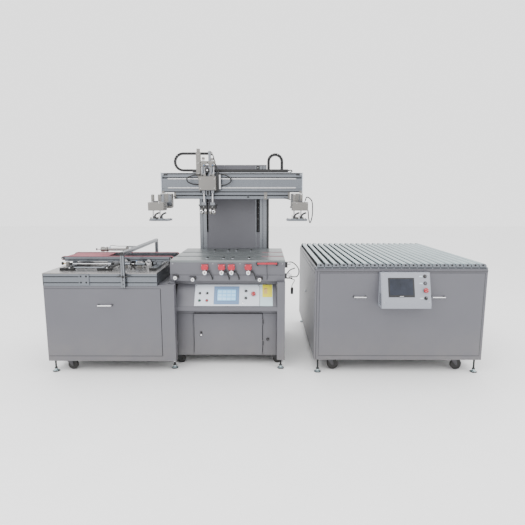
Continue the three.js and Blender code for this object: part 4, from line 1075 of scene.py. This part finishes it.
def cable_chains():
    middle = CHAIN_LOW + CHAIN_THICK / 2
    centre = (-488, CHAIN_LOW + CHAIN_REACH + CHAIN_THICK / 2)
    lower = Piece("drag_chain_lower", "gantry", PRINTER, BLACK)
    route = Route([(-396, middle), (-488, middle), *arc(centre, CHAIN_REACH, -90, -270)], 725)
    chain_links(lower, route, 22, 11.8, 12.8)
    lower.use(CABLE)
    for y in (718, 725, 732):
        bend = arc(centre, CHAIN_REACH, -90, -270, 8)
        lower.tube([(x, y, z) for x, z in [(-396, middle), (-450, middle), *bend]], 3, 8)
    lower.done("cable_chain")

    upper = Piece("drag_chain_upper", None, PRINTER, BLACK)
    high = centre[1] + CHAIN_REACH
    chain_links(upper, Route([(-488, high), (-226, high)], 725), 22, 11.8, 12.8)
    upper.use(CABLE)
    for y in (718, 725, 732):
        upper.tube([(x, y, high) for x in (-488, -430, -360, -290, -226)], 3, 8)
    run = upper.done()
    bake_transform(run)

    left, right, crown = 364, 500, 1883
    arch = Piece("cable_arch_links", None, PRINTER, BLACK)
    over = arc(((left + right) / 2, crown), (right - left) / 2, 180, 0)
    path = [(left, 1792), (left, crown), *over[1:], (right, 1801)]
    chain_links(arch, Route(path, 831), 22, 14, 14.8)
    arch.use(CABLE)
    for y in (824, 831, 838):
        arch.tube([(x, y, z) for x, z in path], 3.4, 8)
    loop = arch.done("cable_arch")
    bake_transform(loop)


def gantry():
    carriage = softened("lift_carriage", "gantry_carriage", "gantry", PAINT_DARK_AND_SHADE, 1.6)
    carriage.at = PRINTER
    for x in (-300, -100, 120, 280):
        for z in (1570, 1708):
            carriage.bolt(Y, 800.6, (x, z), 6, -0.2)
    carriage.done("gantry_carriage")

    half, front, back, low, top = 694, 650, 800, 1570, 1759
    piece = Piece("cross_beam", "gantry", PRINTER, ALUMINIUM)
    outline = [(front, low), (front, low + 28), (front + 3, low + 29), (front + 3, low + 36), (front, low + 37),
               (front, top - 54), (front + 8, top - 52), (front + 8, top - 43), (front, top - 41), (front, top - 14),
               (front + 3, top - 14), (front + 3, top), (back, top), (back, low)]
    piece.prism(X, outline, (1 - half, half - 1), 0.5)
    piece.use(SHADOW).box((8 - half, half - 8), (front + 3, front + 8.4), (top - 51, top - 44), 0)
    piece.use(BLACK).box((10 - half, half - 10), (front - 3, front + 4), (top - 13, top - 1), 1)
    piece.box((10 - half, half - 10), (front - 3, front + 2), (low, low + 11), 1)
    # Painted highlight: a white strip along the beam's top edge stands in for the light caught there.
    piece.use(WHITE).box((12 - half, half - 12), (front - 1, front + 16), (top - 1, top + 3), 0.8)
    for z in (1608, 1696):
        piece.use(STEEL).prism(X, [(front + 0.5, z), (front - 5.5, z - 0.5), (front - 7, z + 1), (front - 7, z + 11),
                                   (front - 5.5, z + 12.5), (front + 0.5, z + 12)], (60 - half, half - 60), 0.3)
        for k in range(29):
            piece.use(SHADOW).bar(Y, 2.4, (front - 7.2, front - 5), (-630 + 45 * k, z + 6), 12, 0.2)
    for side in (-1, 1):
        xs = sorted((side * (half - 1), side * (half + 8)))
        # Painted highlight: the white end plates show only as thin light edges round the aluminium cover plates.
        piece.use(WHITE).box(xs, (front - 12, back), (low - 8, top + 4), 1.6)
        plate = sorted((side * (half + 7), side * (half + 8)))
        piece.use(ALUMINIUM_Z).box(plate, (front - 6, back - 6), (low - 2, top - 2), 0.3)
        for y in (front + 14, front + 70, back - 20):
            for z in (low + 20, top - 22):
                piece.bolt(X, side * (half + 8) - side * 2, (y, z), 5.5, side * 1.8)
        inner = sorted((side * (half - 1), side * (half - 26)))
        piece.use(ALUMINIUM).box(inner, (front - 11, front + 1), (top - 30, top - 4), 2)
        stop = sorted((side * (half - 28), side * (half - 58)))
        piece.use(BLACK).boxes(1.5, (stop, (front - 9, front), (top - 24, top - 6)))
        piece.bolt(Y, front - 11, (side * (half - 12), top - 17), 4, -1)
        piece.use(CAST).boxes(1.5, (inner, (front - 11, front + 1), (low - 6, low + 14)))
    # The rail for the clamp arms, the chain's tray and the seat of the cable arch.
    piece.use(ALUMINIUM).prism(X, [(655, 1571), (655, 1545), (660, 1543), (660, 1535), (655, 1533), (655, 1505), (700, 1505),
                                   (700, 1571)], (-572, 572), 0.6)
    piece.use(SHADOW).box((-570, 570), (656.4, 662), (1536, 1542), 0)
    end_block = ((651, 700), (1503, 1574))
    piece.use(CAST).boxes(1.5, ((-576, -556), *end_block), ((556, 576), *end_block))
    piece.use(CAST).box((318, 350), (648, 700), (1500, 1573), 2)
    piece.bolt(Y, 648, (334, 1522), 5, -3)
    piece.use(BLACK).box((150, 172), (650, 656), (1516, 1530), 1.5)
    piece.use(BLACK).boxes(1.0, ((-395, 560), (702, 748), (1758, 1761)), ((-395, 560), (702, 705), (1760, 1798)),
                           ((-395, 560), (745, 748), (1760, 1798)), ((-395, 560), (705, 745), (1794, 1796)))
    for k in range(31):
        piece.box((-392 + 31 * k, -386 + 31 * k), (700.6, 703), (1762, 1797), 0)
    piece.use(PAINT).box((486, 514), (780, 846), (1740, 1799.5), 2)
    piece.bolt(Y, 780, (500, 1772), 5, -1)
    lead = [(560, 725, 1786), (590, 740, 1790), (600, 780, 1778), (560, 812, 1770), (512, 826, 1780)]
    piece.use(CABLE).tube(lead, 6)
    piece.tube([(-640, 640, 1560), (-600, 622, 1545), (-560, 620, 1526), (-540, 634, 1508)], 3.4)
    piece.done("beam")


def print_head():
    piece = Piece("head_block", "print_head", PRINTER, CAST)
    x0, x1, front, z0, z1 = -312, -143, 532, 1588, 1721
    piece.box((x0, x1), (front + 6, 642), (z0, z1), 2, 3)
    face = [(x0 + 4, z1 - 8), (x1 - 4, z1 - 8), (x1 - 4, z0 + 24), (x1 - 24, z0 + 3), (x0 + 24, z0 + 3), (x0 + 4, z0 + 24)]
    piece.prism(Y, face, (front, front + 8), 2)
    for x in (x0 + 16, x1 - 16):
        for z in (z0 + 18, z1 - 24):
            piece.bolt(Y, front, (x, z), 5, -2.5)
    piece.use(PAINT_DARK_AND_SHADE).box((x0 + 30, x1 - 30), (front - 0.5, front + 2), (z0 - 0.5, z0 + 4), 0.5)
    # Two blade cylinders with end caps, their cross plate and adjusting studs.
    for x, radius, top in ((-268, 20, 1908), (-185, 17, 1900)):
        piece.use(CAST).box((x - 24, x + 24), (556, 604), (z1 - 1, z1 + 20), 3, 3)
        piece.use(ALUMINIUM_Z).bar(Z, radius, (z1 + 18, 1834), (x, 580), 36)
        for dx in (-16, 16):
            for dy in (-16, 16):
                piece.use(STEEL).bar(Z, 3, (z1 + 16, 1844), (x + dx, 580 + dy), 12)
        piece.use(CAST).box((x - 22, x + 22), (558, 602), (1812, 1838), 3, 3)
        piece.use(STEEL).bar(Z, 9, (1870, top), (x, 580), 24)
        piece.use(CAST).bar(Z, 14, (top - 26, top - 6), (x, 580), 6, 2)
        piece.use(STEEL).bar(Z, radius * 0.62, (1838, 1872), (x, 580), 24)
        piece.use(BLACK).bar(Y, 7, (540, 558), (x + 10, 1824), 20)
        piece.use(BLUE).bar(Y, 5.4, (532, 544), (x + 10, 1824), 16)
        piece.use(BLACK).bar(Y, 7, (540, 557), (x - 8, 1732), 20)
        lead = [(x + 10, 536, 1824), (x + 14, 528, 1812), (x + 12, 528, 1780), (x + 2, 544, 1752)]
        piece.use(CABLE).tube(lead, 3)
    piece.use(CAST).box((-306, -150), (562, 598), (1842, 1868), 3, 3)
    for x in (-292, -226, -164):
        piece.bolt(Y, 562, (x, 1855), 4.5, -4, BLACK)
    piece.use(BLACK).box((-240, -214), (552, 606), (1762, 1800), 4, 3)
    piece.use(CHROME).bar(Y, 8, (540, 553), (-227, 1780), 24)
    # The pale post on the left, the strut on the right and the chain's bracket.
    piece.use(CAST).box((-341, -297), (590, 626), (1725, 1954), 2, 3)
    piece.box((-335, -303), (594, 622), (1952, 1987), 4, 3)
    piece.use(PAINT_DARK_AND_SHADE).box((-338, -300), (592, 624), (1944, 1948), 0)
    piece.use(CAST).box((-326, -300), (592, 624), (1700, 1760), 2)
    for z in (1750, 1850, 1930):
        piece.bolt(Y, 590, (-319, z), 4.5, -2)
    piece.use(ALUMINIUM_Z).box((-222, -200), (598, 640), (z1 - 1, 1965), 2)
    piece.use(CAST).box((-223.6, -196), (602, 746), (1936, 1964), 2)
    piece.use(BLACK).box((-222, -208), (708, 742), (1938, 1962), 2)
    piece.use(BLACK).box((x1 - 1, x1 + 26), (562, 600), (1584, 1746), 5, 3)
    piece.use(STEEL).box((x1 + 26, x1 + 41), (564, 598), (1600, 1736), 2)
    piece.use(CABLE).tube([(-120, 590, 1748), (-140, 600, 1800), (-160, 612, 1860), (-178, 640, 1920),
                           (-196, 690, 1944)], 5)
    piece.tube([(-132, 580, 1748), (-150, 580, 1800), (-158, 588, 1850), (-176, 620, 1900)], 3.4)
    # Air hoses that loop out from each side.
    for hose in (
            [(-286, 566, 1738), (-352, 540, 1732), (-416, 534, 1708), (-416, 534, 1672), (-364, 538, 1648),
             (-300, 560, 1644)],
            [(-110, 580, 1738), (-60, 556, 1738), (-6, 548, 1704), (-6, 548, 1668), (-56, 552, 1640),
             (-112, 580, 1640)]):
        piece.use(CABLE).tube(hose, 6.5, 16)
    piece.use(CHROME).bar(X, 8, (x0 - 16, x0 + 2), (562, 1645), 20)
    piece.bar(X, 7, (x1 + 40, x1 + 56), (576, 1640), 20)
    # Guide bushes under the block for the two holders.
    for x in (-268, -185):
        piece.use(ALUMINIUM_Z).turned(Z, [(9.4, 1560), (20, 1560), (22, 1563), (22, 1590), (9.4, 1590), (9.4, 1560)],
                                      (x, 580), 36)
        piece.use(BLACK).bar(Z, 6, (1562, 1590), (x + (-32 if x < -200 else 32), 580), 20)
    piece.use(ALUMINIUM_Z).box((-243, -210), (560, 600), (1540, 1590), 2)
    piece.use(SHADOW).box((-236, -217), (558.8, 562), (1544, 1584), 1)
    piece.done("print_head")

    for name, x in (("flood", -268), ("squeegee", -185)):
        holder = Piece(f"{name}_clamp", f"{name}_holder", PRINTER, CAST)
        out = -1 if name == "flood" else 1
        knob = x + (-21 if name == "flood" else 15)
        holder.use(STEEL).bar(Z, 7.6, (1434, 1690), (x, 580), 28)
        holder.use(ALUMINIUM_Z).box((x - 22, x + 22), (562, 598), (1442, 1472), 3, 3)
        holder.use(BLACK).box((x - 34, x + 34), (541, 619), (1412, 1444), 3, 3)
        for side in (-1, 1):
            xs = sorted((x + side * 8.4, x + side * 27))
            holder.use(CAST).box(xs, (540, 620), (1358, 1414), 4, 3)
        holder.use(CHROME).turned(
            Y, [(0, 510), (12, 510), (15.5, 513), (16, 518), (16, 530), (12, 534), (12, 541), (0, 541)],
            (knob, 1384), 36)
        holder.use(GLOSS).turned(Y, [(0, 507.6), (9, 507.6), (10, 510.4), (0, 510.4)], (knob, 1384), 28)
        holder.use(BLACK).tube([(x + out * 28, 560, 1424), (x + out * 38, 548, 1434), (x + out * 46, 540, 1452)], 5, 14)
        holder.use(STEEL).bar(Y, 4.6, (530, 610), (x, 1384), 20)
        holder.use(CHROME).bar(Y, 10, (533, 541), (x - out * 18, 1396), 24)
        holder.bolt(Y, 541, (x, 1428), 4, -2)
        holder.done(f"{name}_holder")


def clamp_arm(side):
    name = "left" if side < 0 else "right"
    c = side * 640
    piece = Piece(f"arm_{name}", f"clamp_arm_{name}", PRINTER, CAST)
    piece.box((c - 70, c + 70), (166, 304), (1406, 1480), 4, 3)
    piece.use(SHADOW).box((c - 70.4, c + 70.4), (230, 233), (1405.6, 1480.4), 0)
    piece.use(ALUMINIUM_Y).box((c - 28, c + 28), (300, 648), (1437, 1479), 2)
    groove = ((306, 586), (1454, 1462))
    piece.use(SHADOW).boxes(0, ((c - 28.4, c - 22), *groove), ((c + 22, c + 28.4), *groove))
    piece.use(CAST).box((c - 58, c + 58), (590, 652), (1426, 1559), 3, 3)
    piece.box((c - 70, c + 70), (472, 558), (1419, 1436), 3)
    plate = ((586, 592), (1440, 1550))
    piece.use(ALUMINIUM_Z).boxes(2, ((c - 52, c - 20), *plate), ((c + 20, c + 52), *plate))
    for x in (c - 44, c + 44):
        for z in (1444, 1540):
            piece.bolt(Y, 588, (x, z), 5, -2)
        piece.bolt(Y, 166, (x + 14 * side, 1470), 4, -2)
        piece.bolt(Z, 1480, (x, 190), 5, 3)
    piece.use(PAINT_DARK_AND_SHADE).boxes(1.5, ((c - 18, c + 18), (168, 186), (1480, 1492)))
    cable = [(c - 20, 610, 1556), (c - 10, 604, 1548), (c + 20, 596, 1520), (c + 30, 590, 1490)]
    piece.use(BLACK).tube(cable, 4)
    if side > 0:
        piece.use(CABLE).tube([
            (c + 44, 230, 1470), (c + 62, 222, 1524), (c + 106, 214, 1490), (c + 114, 212, 1400),
            (c + 108, 214, 1336), (c + 94, 226, 1296), (c + 83, 240, 1336), (c + 77, 244, 1400),
            (c + 62, 244, 1436)], 4.8, 14)
        piece.use(CHROME).bar(Z, 8, (1478, 1492), (c + 46, 230), 20)
        lead = [(c - 120, 640, 1520), (c - 100, 624, 1508), (c - 70, 600, 1500), (c - 40, 586, 1500)]
        piece.use(CABLE).tube(lead, 3.4)
    piece.done(f"clamp_arm_{name}")

    jaw = Piece(f"jaw_{name}", f"clamp_jaw_{name}", PRINTER, CAST)
    xs = sorted((c - side * 118, c + side * 66))
    jaw.use(ALUMINIUM).box(xs, (177, 293), (1314, 1331), 2.4, 3)
    jaw.use(CAST).box((c - 60, c + 34), (187, 283), (1330, 1346), 3, 3)
    jaw.box((xs[0] + 14, xs[1] - 14), (190, 280), (1312.2, 1316), 1)
    for dx in (-48, 14):
        jaw.use(STEEL).bar(Z, 7.6, (1330, 1500), (c + dx, 262), 24)
        jaw.use(CAST).bar(Z, 15, (1484, 1546), (c + dx, 262), 30, 2)
        jaw.use(STEEL).bar(Z, 10, (1544, 1552), (c + dx, 262), 24)
        jaw.use(BLACK).bar(Z, 12, (1346, 1354), (c + dx, 262), 24)
    # Black toggle clamps on ears in front of the arm's box, which they pass as the jaw rises.
    for k in (-1, 1):
        x = c - side * 22 + k * 30
        jaw.use(ALUMINIUM).box((x - 27, x + 12), (136, 182), (1328, 1338), 2)
        jaw.use(BLACK).box((x - 9, x + 9), (138, 162), (1337, 1360), 2)
        jaw.tube([(x, 152, 1356), (x + 10, 149, 1372), (x + 26, 147, 1382), (x + 44, 146, 1388)], 8, 14)
        jaw.use(STEEL).bar(X, 4, (x - 13, x + 13), (150, 1360), 16)
        jaw.use(CHROME).bar(Z, 7, (1337, 1370), (x - 19, 150), 20)
    for x in (xs[0] + 12, xs[1] - 12):
        jaw.bolt(Z, 1331, (x, 200), 5, 5, BLACK)
        jaw.bolt(Z, 1331, (x, 270), 5, 5)
    jaw.done(f"clamp_jaw_{name}")


printer_base()
printer_door()
control_panel()
table()
column()
cable_chains()
gantry()
print_head()
for arm_side in (-1, 1):
    clamp_arm(arm_side)


# ---------------------------------------------------------------- outfeed module
OUT_WIDTH, OUT_DEPTH, OUT_BOTTOM, OUT_TOP = 1455, 1610, 125, 917
ROLLER_PITCH, ROLLER_COUNT, ROLLER_HEIGHT = 65, 22, 957


def roller(piece, x):
    """A zinc tube with crimped ends on a spring-loaded hexagonal shaft."""
    ends = (17.2, OUT_DEPTH - 17.2)
    outline = [(0, ends[0]), (10, ends[0]), (15.5, ends[0] + 1), (17.2, ends[0] + 3), (17.8, ends[0] + 6),
               (17.8, ends[1] - 6), (17.2, ends[1] - 3), (15.5, ends[1] - 1), (10, ends[1]), (0, ends[1])]
    piece.use(ZINC).turned(Y, outline, (x, ROLLER_HEIGHT), 40)
    for y in (ends[0] + 15, ends[1] - 18):
        piece.use(SHADOW).turned(Y, [(17.4, y), (17.92, y), (17.92, y + 2.2), (17.4, y + 2.2), (17.4, y)],
                                 (x, ROLLER_HEIGHT), 40)
    for y in ((2.5, 17), (OUT_DEPTH - 17, OUT_DEPTH - 2.5)):
        piece.use(BLACK).bar(Y, 6.8, y, (x, ROLLER_HEIGHT), 6, 0.8)


def outfeed_cabinet():
    piece = Piece("outfeed_shell", "line", OUTFEED, PAINT)
    cabinet(piece, OUT_WIDTH, OUT_DEPTH, OUT_BOTTOM, OUT_TOP, ((60, 1410), (185, 870)))
    piece.use(PAINT).box((-0.4, OUT_WIDTH), (-6, 30), (907, 917), 2, 3)
    # Painted shade: a dark strip under the top lip stands in for its shadow.
    piece.use(PAINT_DARK_AND_SHADE).box((4, 1451), (-1.2, 0.4), (899, 907), 0)
    # A folded channel down the left front corner, and the small white latch on the left side.
    piece.use(PAINT).boxes(1.4, ((1, 13), (-3, 1), (130, 905)), ((20, 34), (-3, 1), (130, 905)))
    # Painted shade: a dark strip between the two folded strips stands in for the shade inside the channel.
    piece.use(PAINT_DARK_AND_SHADE).box((12.5, 20.5), (-0.8, 0.4), (130, 905), 0)
    piece.use(WHITE).turned(X, [(0, -12), (9, -12), (12, -9), (12, -3), (0, -3)], (800, 560), 28)
    piece.use(CHROME).turned(X, [(0, -3.5), (16, -3.5), (16, -1), (0, -1)], (800, 560), 32)
    for x in (178, OUT_WIDTH - 178):
        for y in (94, OUT_DEPTH - 94):
            castor_fork(piece, x, y, 50, 125, PAINT_DARK_AND_SHADE)
            piece.use(PAINT_DARK_AND_SHADE).box((x - 90, x + 45), (y - 60, y + 45), (125, 133), 1)
        castor_wheel(piece, x, OUT_DEPTH - 94, 50)
    for x in (40, OUT_WIDTH - 40):
        for y in (40, OUT_DEPTH - 40):
            foot(piece, x, y, 129)
    piece.done("outfeed_cabinet")
    for x, name in ((178, "left"), (OUT_WIDTH - 178, "right")):
        wheel = Piece(f"outfeed_castor_{name}", f"outfeed_wheel_{name}", OUTFEED, RUBBER)
        castor_wheel(wheel, x, 94, 50)
        wheel.done(f"outfeed_wheel_{name}")


def roller_bed():
    piece = Piece("roller_rails", "line", OUTFEED, ALUMINIUM)
    for near, far, out in ((0, 14, -1), (OUT_DEPTH - 14, OUT_DEPTH, 1)):
        piece.use(ALUMINIUM).box((4, 1453), (near + 2, far - 2), (917.4, 940), 1)
        face = near if out < 0 else far
        for k in range(ROLLER_COUNT):
            x = 45 + ROLLER_PITCH * k
            tooth = [(x - 30, 930), (x + 30, 930), (x + 30, 956), (x + 17, 971), (x - 17, 971), (x - 30, 956)]
            piece.use(ALUMINIUM).prism(Y, tooth, (near + 2, far - 2), 1)
            ring = sorted((face - out * 1.2, face - out * 2.6))
            piece.use(SHADOW).bar(Y, 8.5, ring, (x, ROLLER_HEIGHT), 24, 0.2)
            piece.use(BLACK).bar(Y, 6.6, sorted((face, face - out * 6)), (x, ROLLER_HEIGHT), 6, 0.8)
        piece.use(PAINT).box((4, 1453), sorted((face - out * 1.2, face - out * 3)), (917.4, 928), 0.6)
    for x0, x1 in ((4, 14), (1443, 1453)):
        piece.use(PAINT).box((x0, x1), (14, OUT_DEPTH - 14), (917.4, 940), 1.2)
    piece.use(SHADOW).box((14, 1443), (14, OUT_DEPTH - 14), (917.3, 919), 0)
    for k in range(ROLLER_COUNT):
        if k % 4 != 1:
            roller(piece, 45 + ROLLER_PITCH * k)
    piece.done("roller_bed")
    for k in range(1, ROLLER_COUNT, 4):
        name = f"roller_{k + 1:02d}"
        turning = Piece(f"zinc_{name}", name, OUTFEED, ZINC)
        roller(turning, 45 + ROLLER_PITCH * k)
        turning.done(name)


def outfeed_front():
    piece = Piece("outfeed_panel_sheet", "outfeed_panel", OUTFEED, PAINT)
    front_panel(piece, (40, 1430), (165, 890))
    pull_handle(piece, 324, 435, 690)
    pull_handle(piece, 983, 1099, 690)
    piece.done("outfeed_front_panel")

    back, foot_y = OUTFEED_BACK, OUTFEED_SLOPE_FOOT
    box = Piece("outfeed_console_box", "outfeed_panel", OUTFEED, CONSOLE)
    box.prism(X, [(back, 615), (back, 905), (back - 40.8, 905), (foot_y, 650), (foot_y, 615)], (538, 947), 3)
    tilt = OUTFEED_CONTROL
    box.use(CONSOLE).box((8, 401), (-1.2, 2), (8, 256), 0.8, at=tilt)
    box.use(BLACK).box((58, 275), (-4, 1), (60, 222), 3, 3, at=tilt)
    box.use(SCREEN_DARK).box((70, 263), (-4.6, -3), (76, 212), 0.6, at=tilt)
    box.use(STEEL).box((150, 182), (-4.4, -3.6), (65, 69), 0.2, at=tilt)
    for x in (20, 390):
        for z in (18, 246):
            box.bolt(Y, -1.2, (x, z), 4, -1.6, at=tilt)
    for z in (234, 176, 52):
        bezel(box, 365, z, tilt)
        box.use(POCKET).box((318, 344), (-1.8, -1), (z - 4, z + 4), 0.2, at=tilt)
    bezel(box, 365, 116, tilt, 18)
    box.use(SHADOW)
    for k in range(7):
        box.box((946.6, 947.4), (-100, -40), (640 + 14 * k, 645 + 14 * k), 0)
        box.box((537.6, 538.4), (-100, -40), (640 + 14 * k, 645 + 14 * k), 0)
    box.done("outfeed_console")
    push_button("cap_power", "outfeed_button_power", tilt, 365, 234, GLOSS)
    push_button("cap_run", "outfeed_button_run", tilt, 365, 176, PAINT)
    turn_switch("switch_outfeed", "outfeed_selector", tilt, 365, 52)
    mushroom_stop("stop_outfeed", "outfeed_emergency_stop", "outfeed_stop", tilt, 365, 116)


outfeed_cabinet()
roller_bed()
outfeed_front()
